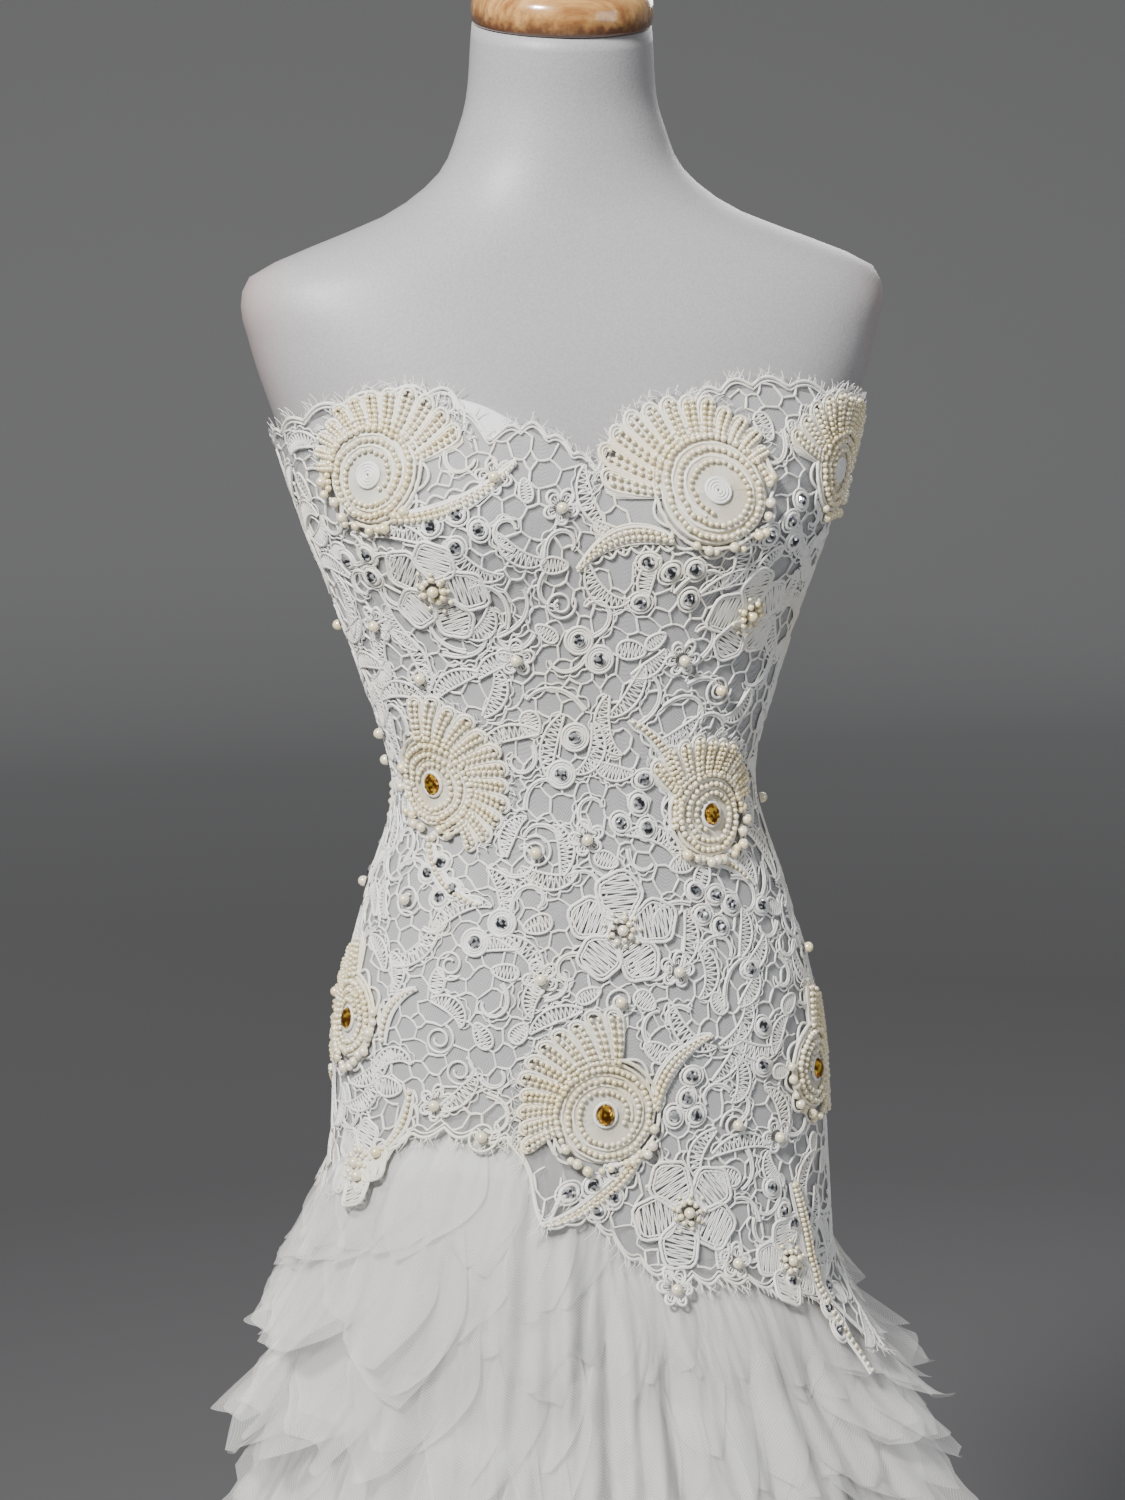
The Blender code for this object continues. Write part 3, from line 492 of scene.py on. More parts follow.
def add_copies(heap, template, centres, frames, sizes):
    """Copies of a template at centres, turned to (count, 3, 3) frames and scaled."""
    shape, faces = template
    centres = np.asarray(centres, float).reshape(-1, 3)
    if len(centres) == 0:
        return
    sizes = np.broadcast_to(np.asarray(sizes, float).reshape(-1, 1, 1), (len(centres), 1, 1))
    turned = shape[None] * sizes if frames is None else np.einsum("pk,ckj->cpj", shape, frames) * sizes
    points = centres[:, None, :] + turned
    shift = np.arange(len(centres))[:, None, None] * len(shape)
    heap.add(points, (faces[None] + shift).reshape(-1, faces.shape[1]))


# Materials


def new_material(name, slot, colour, roughness, **sockets):
    material = bpy.data.materials.new(name)
    material.use_nodes = True
    material["slot"] = slot
    shader = material.node_tree.nodes["Principled BSDF"]
    shader.inputs["Base Color"].default_value = (*colour, 1)
    shader.inputs["Roughness"].default_value = roughness
    for socket, value in sockets.items():
        shader.inputs[socket.replace("_", " ")].default_value = value
    return material


def add_node(material, kind, settings=None, **inputs):
    """A node with its settings, and with each input a number, a colour or another node's socket."""
    node = material.node_tree.nodes.new(kind)
    for key, value in (settings or {}).items():
        setattr(node, key, value)
    for key, value in inputs.items():
        socket = node.inputs[int(key[1:])] if key[0] == "i" and key[1:].isdigit() else node.inputs[key]
        if isinstance(value, bpy.types.NodeSocket):
            material.node_tree.links.new(value, socket)
        else:
            socket.default_value = value
    return node


def join(material, socket, target):
    """Links a socket to an input of the material's shader."""
    material.node_tree.links.new(socket, material.node_tree.nodes["Principled BSDF"].inputs[target])


def calculate(material, operation, *values):
    inputs = {f"i{i}": value for i, value in enumerate(values)}
    return add_node(material, "ShaderNodeMath", {"operation": operation}, **inputs).outputs[0]


def object_places(material):
    return add_node(material, "ShaderNodeTexCoord").outputs["Object"]


def weave_places(material):
    return add_node(material, "ShaderNodeUVMap", {"uv_map": "weave"}).outputs["UV"]


def noise(material, places, scale, detail=3.0, roughness=0.5):
    node = add_node(material, "ShaderNodeTexNoise", Vector=places, Scale=scale, Detail=detail)
    node.inputs["Roughness"].default_value = roughness
    return node.outputs["Fac"]


def ramp(material, factor, low, high, start, end):
    """A colour that goes from one to another as a factor goes from start to end."""
    share = add_node(material, "ShaderNodeMapRange", Value=factor)
    share.inputs["From Min"].default_value = start
    share.inputs["From Max"].default_value = end
    mix = add_node(material, "ShaderNodeMix", {"data_type": "RGBA"}, Factor=share.outputs[0])
    for socket, value in ((6, low), (7, high)):
        if isinstance(value, bpy.types.NodeSocket):
            material.node_tree.links.new(value, mix.inputs[socket])
        else:
            mix.inputs[socket].default_value = (*value, 1)
    return mix.outputs[2]


def tint(material, places, scale, detail, low, high, start, end):
    """Colours the material in soft patches that go from one colour to another."""
    patches = noise(material, places, scale, detail)
    join(material, ramp(material, patches, low, high, start, end), "Base Color")


def map_to(material, value, low, high, start=0.0):
    """A value that goes from low to high as another goes from start to 1."""
    spread = add_node(material, "ShaderNodeMapRange", Value=value)
    spread.inputs["From Min"].default_value = start
    spread.inputs["To Min"].default_value = low
    spread.inputs["To Max"].default_value = high
    return spread.outputs[0]


def add_bump(material, height, depth, before=None):
    """A bump of a real depth in metres, over the one before it if there is one."""
    node = add_node(material, "ShaderNodeBump", Height=height, Distance=depth, Strength=1.0)
    if before:
        material.node_tree.links.new(before, node.inputs["Normal"])
    join(material, node.outputs["Normal"], "Normal")
    return node.outputs["Normal"]


def stripes(material, places, across, along):
    """Smooth ridges over a flat place, by how many there are for each metre across and along."""
    parts = add_node(material, "ShaderNodeSeparateXYZ", Vector=places)
    first = calculate(material, "MULTIPLY", parts.outputs[0], across * 2 * math.pi)
    second = calculate(material, "MULTIPLY", parts.outputs[1], along * 2 * math.pi)
    return calculate(material, "SINE", calculate(material, "ADD", first, second))


def skin_material():
    """The form's smooth matte skin, faintly speckled, and a little pink round the arm ends."""
    material = new_material("form_skin", "form_skin", (0.365, 0.356, 0.365), 0.48)
    places = object_places(material)
    speckle = noise(material, places, 900.0, 2.0)
    colour = ramp(material, speckle, (0.335, 0.326, 0.335), (0.395, 0.386, 0.395), 0.35, 0.65)
    parts = add_node(material, "ShaderNodeSeparateXYZ", Vector=places)
    aside = calculate(material, "ABSOLUTE", parts.outputs[0])
    colour = ramp(material, aside, colour, (0.385, 0.315, 0.305), 0.165, 0.200)
    join(material, colour, "Base Color")
    add_bump(material, noise(material, places, 420.0, 4.0), 0.12 * MM)
    return material


def wood_material():
    """Varnished honey wood with a darker mottled lower edge."""
    material = new_material("honey_wood", "honey_wood", (0.50, 0.27, 0.09), 0.22, Coat_Weight=0.8)
    material.node_tree.nodes["Principled BSDF"].inputs["Coat Roughness"].default_value = 0.06
    places = object_places(material)
    stretched = add_node(material, "ShaderNodeMapping", Vector=places, Scale=(14.0, 160.0, 60.0))
    grain = noise(material, stretched.outputs[0], 1.0, 6.0, 0.65)
    colour = ramp(material, grain, (0.28, 0.11, 0.03), (0.62, 0.35, 0.12), 0.36, 0.62)
    parts = add_node(material, "ShaderNodeSeparateXYZ", Vector=places)
    mottle = noise(material, places, 220.0, 4.0)
    wander = calculate(material, "MULTIPLY", mottle, 0.016)
    level = calculate(material, "SUBTRACT", parts.outputs[2], wander)
    colour = ramp(material, level, (0.13, 0.055, 0.025), colour, -0.005, 0.004)
    join(material, colour, "Base Color")
    add_bump(material, grain, 0.1 * MM)
    return material


def metal_material(name, slot, colour, roughness):
    """Brushed or polished metal with faint scratches."""
    material = new_material(name, slot, colour, roughness, Metallic=1.0)
    places = object_places(material)
    stretched = add_node(material, "ShaderNodeMapping", Vector=places, Scale=(900.0, 900.0, 20.0))
    scratches = noise(material, stretched.outputs[0], 1.0, 3.0)
    join(material, map_to(material, scratches, roughness * 0.75, roughness * 1.35), "Roughness")
    add_bump(material, scratches, 0.02 * MM)
    return material


def satin_material():
    """White lining satin: floats across a fine twill, with a soft sheen."""
    material = new_material(
        "white_satin", "white_satin", (0.83, 0.83, 0.845), 0.44, Sheen_Weight=0.25, Sheen_Roughness=0.4
    )
    places = weave_places(material)
    weave = stripes(material, places, 1400.0, 900.0)
    tint(material, places, 60.0, 4.0, (0.77, 0.78, 0.81), (0.83, 0.84, 0.86), 0.35, 0.65)
    soft = add_bump(material, weave, 0.03 * MM)
    puckers = noise(material, places, 28.0, 2.0)
    add_bump(material, puckers, 1.0 * MM, before=soft)
    return material


def thread_material(name, cool, warm):
    """Cotton lace thread: fine twisted plies, whiter in some places and creamier in others."""
    material = new_material(name, "ivory_lace", cool, 0.36, Sheen_Weight=0.3, Sheen_Roughness=0.35)
    places = object_places(material)
    tint(material, places, 16.0, 2.0, cool, warm, 0.46, 0.72)
    plies = noise(material, places, 1500.0, 2.0)
    add_bump(material, plies, 0.35 * MM)
    return material


def stitch_material(name, cool, warm):
    """Satin stitch: close rows of thread that catch the light in short streaks."""
    material = new_material(name, "ivory_lace", cool, 0.50, Sheen_Weight=0.35, Sheen_Roughness=0.35)
    places = weave_places(material)
    rows = stripes(material, places, 1100.0, 0.0)
    tint(material, object_places(material), 22.0, 3.0, cool, warm, 0.38, 0.64)
    fine = add_bump(material, rows, 0.07 * MM)
    lumps = noise(material, places, 520.0, 2.0)
    add_bump(material, lumps, 0.18 * MM, before=fine)
    return material


def net_lines(material, places, per_metre, slope):
    """Two crossing sets of fine threads, 1 on a thread and 0 in a hole."""
    first = stripes(material, places, per_metre, per_metre * slope)
    second = stripes(material, places, per_metre, -per_metre * slope)
    return calculate(material, "MAXIMUM", first, second)


def sheer_material(name, slot, colour, per_metre, thinnest, thickest):
    """Fine net, with threads that hide more of what is behind them than its holes do."""
    material = new_material(name, slot, colour, 0.75, Sheen_Weight=0.3, Sheen_Roughness=0.5)
    places = weave_places(material)
    lines = net_lines(material, places, per_metre, 0.62)
    join(material, map_to(material, lines, thinnest, thickest, 0.2), "Alpha")
    creamier = tuple(channel * share for channel, share in zip(colour, (1.0, 0.985, 0.95)))
    tint(material, places, 12.0, 2.0, colour, creamier, 0.35, 0.7)
    return material


def pearl_material():
    """Cream pearls: a soft body under a clear shine."""
    material = new_material(
        "pearl", "ivory_lace", (0.86, 0.79, 0.64), 0.30, Coat_Weight=1.0, Coat_Roughness=0.20, Coat_IOR=2.3
    )
    tint(material, object_places(material), 45.0, 2.0, (0.90, 0.82, 0.63), (0.87, 0.74, 0.43), 0.38, 0.66)
    return material


def glint_painted_crystal_material(name, low, high):
    """Foil-backed cut crystal. Its facets are painted in patches from a dark colour to a bright one:
    painted dark reflections and painted glints, added to the light's own shine.
    """
    material = new_material(name, "ivory_lace", high, 0.06, Metallic=0.85, Specular_IOR_Level=0.8)
    # Painted reflections: facet-sized patches go from the dark colour to the bright one.
    tint(material, object_places(material), 420.0, 0.0, low, high, 0.42, 0.58)
    return material


def floor_material():
    """A floor painted pale round the form and dark farther away, a painted pool of light, and a plain grey
    backdrop.
    """
    material = new_material("floor", "", (0.60, 0.60, 0.60), 0.9)
    places = object_places(material)
    away = add_node(material, "ShaderNodeVectorMath", {"operation": "LENGTH"}, i0=places).outputs["Value"]
    # Painted pool of light: pale within half a metre of the form, painted dark out to 1.3 metres.
    colour = ramp(material, away, (0.60, 0.60, 0.60), (0.125, 0.125, 0.13), 0.5, 1.3)
    colour = ramp(material, away, colour, (0.46, 0.46, 0.465), 2.6, 8.0)
    join(material, colour, "Base Color")
    return material


# The stage: a wide floor that curves up far behind, and soft studio light

FLOOR_FRONT = -9.0
FLOOR_BACK = 6.5
FLOOR_CURVE = 2.5
FLOOR_HALF = 11.0
FLOOR_TOP = 9.0


def add_stage():
    turns = np.linspace(0, math.pi / 2, 17)
    line = [(FLOOR_FRONT, 0.0)]
    line += [(FLOOR_BACK + FLOOR_CURVE * math.sin(t), FLOOR_CURVE * (1 - math.cos(t))) for t in turns]
    line.append((FLOOR_BACK + FLOOR_CURVE, FLOOR_TOP))
    points = np.array([(x, y, z) for y, z in line for x in (-FLOOR_HALF, FLOOR_HALF)])
    item = make_object("floor", points, grid_faces(len(line), 2).tolist(), floor_material(), body=None)


class Light(NamedTuple):
    """A square soft box: where it stands, what it faces, its side in metres, watts and colour."""

    name: str
    place: tuple
    aim: tuple
    size: float
    power: float
    colour: tuple = (1.0, 1.0, 1.0)


LIGHTS = [
    Light("key", (-1.4, -1.75, 3.0), (0, 0, 1.05), 0.46, 186, (1.0, 0.985, 0.96)),
    Light("fill", (2.0, -1.9, 1.5), (0, 0, 1.0), 1.4, 16, (0.95, 0.97, 1.0)),
    Light("rim", (1.2, 2.0, 2.4), (0, 0, 1.0), 1.2, 26),
]
ROOM_COLOUR = (0.84, 0.85, 0.87)
ROOM_STRENGTH = 0.30


def add_lights():
    for light in LIGHTS:
        data = bpy.data.lights.new(light.name, "AREA")
        data.shape = "SQUARE"
        data.size = light.size
        data.energy = light.power
        data.color = light.colour
        item = bpy.data.objects.new(light.name, data)
        item.location = light.place
        direction = Vector(light.aim) - Vector(light.place)
        item.rotation_euler = direction.to_track_quat("-Z", "Y").to_euler()
        bpy.context.scene.collection.objects.link(item)
    room = bpy.data.worlds.new("studio")
    room.use_nodes = True
    room.node_tree.nodes["Background"].inputs["Color"].default_value = (*ROOM_COLOUR, 1)
    room.node_tree.nodes["Background"].inputs["Strength"].default_value = ROOM_STRENGTH
    bpy.context.scene.world = room


# The dress form and its stand

POINT = 0.0005  # the radius of a turned piece where it closes on its own axis
FORM_COLUMNS = 120
FORM_ROWS = 92
COLLAR_WALL = 0.012
CAP_SIDES = 96
POLE_SIDES = 64
FOOT_SIDES = 128


def make_form(material):
    """The torso, closed below with a small hole for the pole and above under the cap."""
    heights = np.linspace(FORM_BOTTOM, FORM_TOP, FORM_ROWS)[:, None]
    angles = np.linspace(0, 2 * math.pi, FORM_COLUMNS, endpoint=False)[None]
    radius = form_radius(angles, heights)
    lean = FORM_CURVES["lean"](heights) * MM
    tilt = smooth_step((heights - TILT_START) / (FORM_TOP - TILT_START)) * math.tan(NECK_TILT)
    back = -radius * np.cos(angles)
    points = np.stack([radius * np.sin(angles), back + lean, heights + back * tilt], -1)
    bottom = points[0].copy()
    rings = [bottom * (share, share, 1) for share in (0.085, 0.5, 0.985)]
    top = points[-1]
    middle = top.mean(0)
    cover = [middle + (top - middle) * share for share in (0.95, 0.4, 0.02)]
    grid = np.concatenate([np.array(rings), points, np.array(cover)])
    item = make_grid("form_surface", grid, material, closed=True)
    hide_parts("form_torso")


def turned_grid(profile, sides):
    """A (radius, height) profile turned round the upright axis."""
    turns = np.linspace(0, 2 * math.pi, sides, endpoint=False)
    return np.array([[(r * math.cos(t), r * math.sin(t), z) for t in turns] for r, z in profile])


def make_neck_cap(material):
    """The round wooden cap, square on the tilted neck."""
    rim = CAP_RADIUS
    top = CAP_THICKNESS
    profile = [
        (POINT, 0.0), (rim - 0.003, 0.0), (rim - 0.0012, 0.0004), (rim - 0.0002, 0.0022),
        (rim + 0.0004, 0.0055), (rim + 0.0004, 0.0100), (rim, 0.0135), (rim - 0.0010, 0.0165),
        (rim - 0.0030, 0.0197), (rim - 0.0070, 0.0222), (rim - 0.0125, 0.0240), (rim - 0.0200, 0.0252),
        (rim - 0.0300, 0.0258), (rim - 0.0400, top), (POINT, top),
    ]
    grid = turned_grid(profile, CAP_SIDES)
    faces = grid_faces(len(profile), CAP_SIDES, True).tolist()
    item = make_object("wood_cap", grid.reshape(-1, 3), faces, material, body=None)
    lean = FORM_CURVES["lean"](FORM_TOP) * MM
    upright = Vector((0.0, -math.sin(NECK_TILT), math.cos(NECK_TILT)))
    item.location = Vector((0.0, lean, FORM_TOP)) + upright * FIT_GAP
    item.rotation_euler = (NECK_TILT, 0.0, 0.0)
    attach(item, BODY)
    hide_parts("neck_cap")


def make_stand(material):
    """The pole with its collar, and the round foot."""
    foot = BASE_THICKNESS + FIT_GAP
    top = FORM_BOTTOM + SOCKET_DEPTH - FIT_GAP
    collar = POLE_RADIUS + COLLAR_WALL
    pole = [(POINT, foot), (collar - 0.001, foot), (collar, foot + 0.001), (collar, foot + 0.005)]
    steps = np.linspace(0, 1, 9)
    pole += [(collar - COLLAR_WALL * smooth_step(t), foot + 0.006 + 0.024 * t) for t in steps]
    pole += [(POLE_RADIUS, top - 0.001), (POLE_RADIUS - 0.001, top), (POINT, top)]
    item = make_grid("pole", turned_grid(pole, POLE_SIDES), material, closed=True)
    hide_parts("stand_pole")
    rim = BASE_RADIUS
    base = [
        (POINT, 0.0), (rim - 0.004, 0.0), (rim - 0.001, 0.0012), (rim, 0.003), (rim, 0.006),
        (rim - 0.0015, 0.0078), (rim - 0.012, 0.011), (0.100, 0.0128), (0.050, BASE_THICKNESS),
        (POINT, BASE_THICKNESS),
    ]
    item = make_grid("round_foot", turned_grid(base, FOOT_SIDES), material, closed=True)
    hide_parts("stand_base")


# The lining and the underskirt

LINING_LIFT = 0.5 * MM
TURN_IN = 0.010
TURNED_EDGE = [(0.0006, 1.3 * MM), (0.0006, 0.5 * MM), (-0.0002, 0.15 * MM), (-TURN_IN, 0.1 * MM)]


class Panel(NamedTuple):
    """A panel's name ending, and the angles in degrees that it runs between."""

    name: str
    start: float
    end: float


BODICE_PANELS = [Panel("front", -90, 90), Panel("back_left", -180, -90), Panel("back_right", 90, 180)]
SKIRT_PANELS = [Panel("front", -90, 90), Panel("back", 90, 270)]
LINING_STEP = 2.0  # degrees
LINING_ROWS = 48
UNDERSKIRT_ROWS = 50
UNDERSKIRT_HEM = 0.010
UNDERSKIRT_FOLD = 0.014

# What the zip tape measures when flat: its width and its length

ZIP_CUT = (0.012, 0.37)


def panel_angles(piece, step_degrees):
    count = round((piece.end - piece.start) / step_degrees)
    return np.radians(np.linspace(piece.start, piece.end, count + 1))


def panel_grid(piece, step_degrees, rows, low, high):
    """Angles and heights of a panel's grid, from its lower edge to its upper one."""
    angles = panel_angles(piece, step_degrees)[None]
    share = np.linspace(0, 1, rows)[:, None]
    return angles, low(angles) + (high(angles) - low(angles)) * share


def walked(points):
    """Flat places of a grid, from the distances walked over it across and up."""
    across = np.linalg.norm(np.diff(points, axis=1), axis=2).cumsum(1)
    across = np.concatenate([np.zeros((len(points), 1)), across], 1)
    across -= across[:, across.shape[1] // 2, None]
    up = np.linalg.norm(np.diff(points, axis=0), axis=2).cumsum(0)
    up = np.concatenate([np.zeros((1, points.shape[1])), up], 0)
    return np.stack([across, up], -1)


def make_lining(piece, material):
    """Cut close to the body, with its top edge turned in."""
    angles, heights = panel_grid(piece, LINING_STEP, LINING_ROWS, hip_seam_height, neckline_height)
    points = cloth_points(angles, heights, LINING_WALL + LINING_LIFT)
    rolled = [cloth_points(angles[0], heights[-1] + rise, depth) for rise, depth in TURNED_EDGE]
    points = np.concatenate([points, np.array(rolled)])
    item = make_grid(f"lining_cloth_{piece.name}", points, material, walked(points))
    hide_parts(f"lining_{piece.name}")


def make_underskirt(piece, material):
    """Hangs from the hip seam in a few soft uneven folds."""
    angles = panel_angles(piece, LINING_STEP)[None]
    share = np.linspace(0, 1, UNDERSKIRT_ROWS)[:, None]
    top = hip_seam_height(angles) - 0.0003
    heights = top + (UNDERSKIRT_HEM - top) * share
    fold = 0.5 + 0.5 * np.sin(11 * angles + 1.3 * np.sin(2 * angles))
    fold *= 0.5 + 0.5 * np.sin(5 * angles + 0.7)
    out = UNDERSKIRT_WALL - UNDERSKIRT_FOLD * smooth_step(share * 1.6) * (1 - fold)
    points = cloth_points(angles, heights, out)
    item = make_grid(f"underskirt_cloth_{piece.name}", points, material, walked(points))
    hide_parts(f"underskirt_{piece.name}")


# The tulle petals

PETAL_COLUMNS = 17
PETAL_ROW = 0.015
PETAL_ROWS_LEAST = 16
PETALS_EACH = 1.4  # petals in each of a flounce's two layers, for each lobe of its solid
PETAL_WIDE = 0.80  # half a petal's width, in petal spacings
PETAL_FLARE_WIDE = 0.20  # how much wider it is at the sides
PETAL_PAST_SEAM = 0.14  # how far, in radians, it may lie past its half's side seam
FLARE_START = 0.71  # how far to the side, as a sine, petals begin to flare
FLARE_RUN = 0.24
FLARED_LENGTHS = (0.88, 1.22)  # in flounce depths
SMOOTH_LENGTHS = (1.0, 1.6)
LAST_CLEARANCE = (0.006, 0.016)  # from the last flounce's petals down to the floor
CLEARANCE = 0.10
LOWEST = 0.006
TIP_TAPER = 0.66
HEM_TAPER = 0.12
GATHER_DEPTH = 0.035
PLEAT_DEPTH = 2.7 * MM
PLEATS = 15  # fine pleats across half a petal, in radians
OWN_WAVES = 2.6  # its own soft waves, counted the same way
OWN_DEPTH = 0.4  # of the wave of its flounce's solid
FOLD_START = 0.13  # metres below the hip seam where the folds have their full depth
FOLD_DEPTH = 10.5 * MM
PETAL_GAP = 0.4 * MM  # the least room between a petal and the underskirt
TULLE_SEED = 5
SPREAD = Curve([
    (0.0, 0.0030), (0.03, 0.011), (0.06, 0.021), (0.11, 0.032), (0.16, 0.038), (0.24, 0.042),
    (0.43, 0.046), (0.82, 0.052),
])


def petal_width(share, taper):
    """A petal's half width as a share of its widest: gathered at the top and softly cut at its tip."""
    grow = 0.40 + 0.60 * np.sin(np.minimum(share / 0.7, 1.0) * math.pi / 2)
    tip = np.clip((share - 0.55) / 0.45, 0, 1)
    return grow * (1 - taper * tip**1.8)


def shared_folds(angle, height):
    """Soft uneven upright folds that all the layers share, so that they lie together."""
    sway = np.sin(9.0 * height)
    wide = np.sin(19 * angle + 1.3 * np.sin(3 * angle) + 0.7 * sway)
    narrow = np.sin(43 * angle + 1.9 * np.sin(5 * angle + 1.0) - 1.1 * sway)
    return (0.60 * wide + 0.40 * narrow) * (0.72 + 0.28 * np.sin(7 * angle + 2.0 + 1.5 * sway))


class Petal(NamedTuple):
    """A petal's flounce and layer, its own angle, the angle between petals, and the angles it keeps to."""

    number: int
    tier: Tier
    layer: int
    angle: float
    spacing: float
    bounds: tuple

    def flare(self):
        return float(smooth_step((abs(math.sin(self.angle)) - FLARE_START) / FLARE_RUN))

    def drop_of_flounce(self):
        return tier_start(self.tier, self.angle) - tier_hem(self.tier, self.angle)

    def is_last(self):
        return self.tier is TIERS[-1]


def petal_length(petal, chance):
    """Long in the front and back, and shorter where petals flare at the sides."""
    flare = petal.flare()
    flared = chance.uniform(*FLARED_LENGTHS) * flare
    length = petal.drop_of_flounce() * (flared + chance.uniform(*SMOOTH_LENGTHS) * (1 - flare))
    clearance = chance.uniform(*LAST_CLEARANCE) if petal.is_last() else CLEARANCE
    return min(length, tier_start(petal.tier, petal.angle) - clearance)


def petal_out(petal, angles, heights, length, share, side, chance):
    """How far out a petal lies: on the folds that all share, or out with its flounce at the sides."""
    number, tier, layer, flare = petal.number, petal.tier, petal.layer, petal.flare()
    fold, phase = chance.uniform(-1.0, 1.0), chance.uniform(0, 2 * math.pi)
    drop = length * share / petal.drop_of_flounce()
    depth = hip_seam_height(angles) - heights
    nested = (3.0 - number * 1.3 - layer * 0.8) * MM
    smooth = SPREAD(np.maximum(depth, 0.0)) + nested
    begun = smooth_step(length * share / GATHER_DEPTH)
    seam = UNDERSKIRT_WALL + (1.0 - 0.1 * number) * MM
    folds = FOLD_DEPTH * shared_folds(angles, heights)
    flared = tier_out(tier, drop) + (0.9 * folds * smooth_step(drop) - layer * MM) * begun
    smooth = seam + (smooth + folds * smooth_step(depth / FOLD_START) - seam) * begun
    out = smooth * (1 - flare) + flared * flare
    own = OWN_DEPTH * tier.wave * np.minimum(drop, 1.2) ** WAVE_POWER * (0.85 + 0.45 * flare)
    out = out + own * np.sin(side * (OWN_WAVES + fold) + phase)
    out = out + PLEAT_DEPTH * np.sin(side * PLEATS + phase) * (1 - share) * begun
    return np.maximum(out, UNDERSKIRT_WALL + PETAL_GAP)


def make_petal(petal, rows, chance):
    """A petal's points, where they lie on the flat cloth, and its width and length."""
    share = np.linspace(0, 1, rows)[:, None]
    side = np.linspace(-1, 1, PETAL_COLUMNS)[None]
    taper = HEM_TAPER if petal.is_last() else TIP_TAPER
    top = tier_start(petal.tier, petal.angle)
    length = petal_length(petal, chance)
    slant = (chance.uniform(-0.35, 0.35) * side + chance.uniform(0.0, 0.15) * side**2) * taper**3
    heights = top - length * share * (1 - 0.05 * side**2 * (1 - share) - slant * share**3)
    heights = np.maximum(heights, LOWEST)
    halfway = top - petal.drop_of_flounce() * 0.5
    wide = petal.spacing * PETAL_WIDE * stride(petal.angle, halfway, 0.02)
    wide = wide * (1 + PETAL_FLARE_WIDE * petal.flare())
    across = side * wide * petal_width(share, taper) * chance.uniform(0.8, 1.15)
    across = across + wide * chance.uniform(-0.5, 0.5) * share**2
    angles = np.clip(angle_across(petal.angle, heights, across), *petal.bounds)
    out = petal_out(petal, angles, heights, length, share, side, chance)
    flat = np.stack(np.broadcast_arrays(across, length * share), -1).reshape(-1, 2)
    return cloth_points(angles, heights, out), flat + chance.uniform(0, 1), 2 * wide, length


def make_tier(number, tier, piece, material, chance):
    """Half a flounce: long petals that lie smooth at the front and back and flare at the sides."""
    start, end = math.radians(piece.start), math.radians(piece.end)
    bounds = start - PETAL_PAST_SEAM, end + PETAL_PAST_SEAM
    count = round(tier.petals * PETALS_EACH)
    spacing = (end - start) / count
    middle = start + spacing / 2
    drop = float(tier_start(tier, middle) - tier_hem(tier, middle))
    rows = max(PETAL_ROWS_LEAST, int(drop * 1.3 / PETAL_ROW))
    heap, flats = Heap(), []
    cut_width = cut_length = 0.0
    for layer in (0, 1):
        for place in range(count):
            angle = start + spacing * (place + 0.25 + 0.5 * layer) + chance.uniform(-0.2, 0.2) * spacing
            petal = Petal(number, tier, layer, angle, spacing, bounds)
            points, flat, width, length = make_petal(petal, rows, chance)
            heap.add(points, grid_faces(rows, PETAL_COLUMNS))
            flats.append(flat)
            cut_width += width
            cut_length = max(cut_length, length)
    item = heap.make(f"tulle_petals_{number}_{piece.name}", material)
    lay_weave(item, np.concatenate(flats))
    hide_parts(f"tulle_{number}_{piece.name}")


# The lace's motifs. Bearings turn from the wearer's left (+X at the front) up, in degrees


class Fan(NamedTuple):
    """A nautilus fan: a spiral of pearls, with corded lobes that open from it."""

    angle: float
    height: float
    reach: float  # millimetres to the longest lobe's tip
    start: float  # the bearing of the longest lobe
    sweep: float  # from there to the last lobe
    taper: float  # how much shorter the last lobe is
    lobes: int
    centre: str

    def way(self):
        return 1 if self.sweep > 0 else -1

    def reach_at(self, share):
        """How far the lobes reach, a share of the way round."""
        return self.reach * (1 - self.taper * share)


FANS = [
    Fan(-57.7, 1.2555, 60, 15, 165, 0.38, 12, "thread"),
    Fan(32.1, 1.2427, 68, 184, -160, 0.34, 12, "thread"),
    Fan(69.5, 1.2487, 52, 165, -150, 0.20, 11, "thread"),
    Fan(-59.5, 1.0704, 56, 105, -160, 0.15, 12, "amber"),
    Fan(42.8, 1.0477, 54, 150, -140, 0.25, 11, "amber"),
    Fan(-79.3, 0.9241, 52, 90, 150, 0.25, 11, "amber"),
    Fan(-1.1, 0.8747, 64, 72, 130, 0.22, 11, "amber"),
    Fan(70.6, 0.8801, 54, 95, -150, 0.20, 11, "amber"),
    Fan(-150, 1.195, 50, 175, -150, 0.30, 11, "thread"),
    Fan(150, 1.185, 50, 5, 150, 0.30, 11, "thread"),
    Fan(-122, 1.050, 52, 85, 150, 0.25, 11, "amber"),
    Fan(122, 1.060, 52, 95, -150, 0.25, 11, "amber"),
    Fan(-156, 0.905, 54, 45, 150, 0.25, 11, "amber"),
    Fan(152, 0.890, 54, 135, -150, 0.25, 11, "amber"),
]


class Flower(NamedTuple):
    """Five petals of open stitches round a cluster of pearls."""

    angle: float
    height: float
    reach: float
    turn: float


FLOWERS = [
    Flower(-45.7, 1.1894, 30, 0), Flower(48.5, 1.1669, 29, 30), Flower(6.9, 0.9843, 34, 15),
    Flower(24.8, 0.8114, 34, 40), Flower(-70, 0.8416, 26, 10), Flower(54.5, 0.7694, 27, 25),
    Flower(-112, 1.160, 28, 20), Flower(110, 1.160, 28, 0), Flower(-160, 1.040, 26, 45),
    Flower(160, 1.045, 26, 10),
]


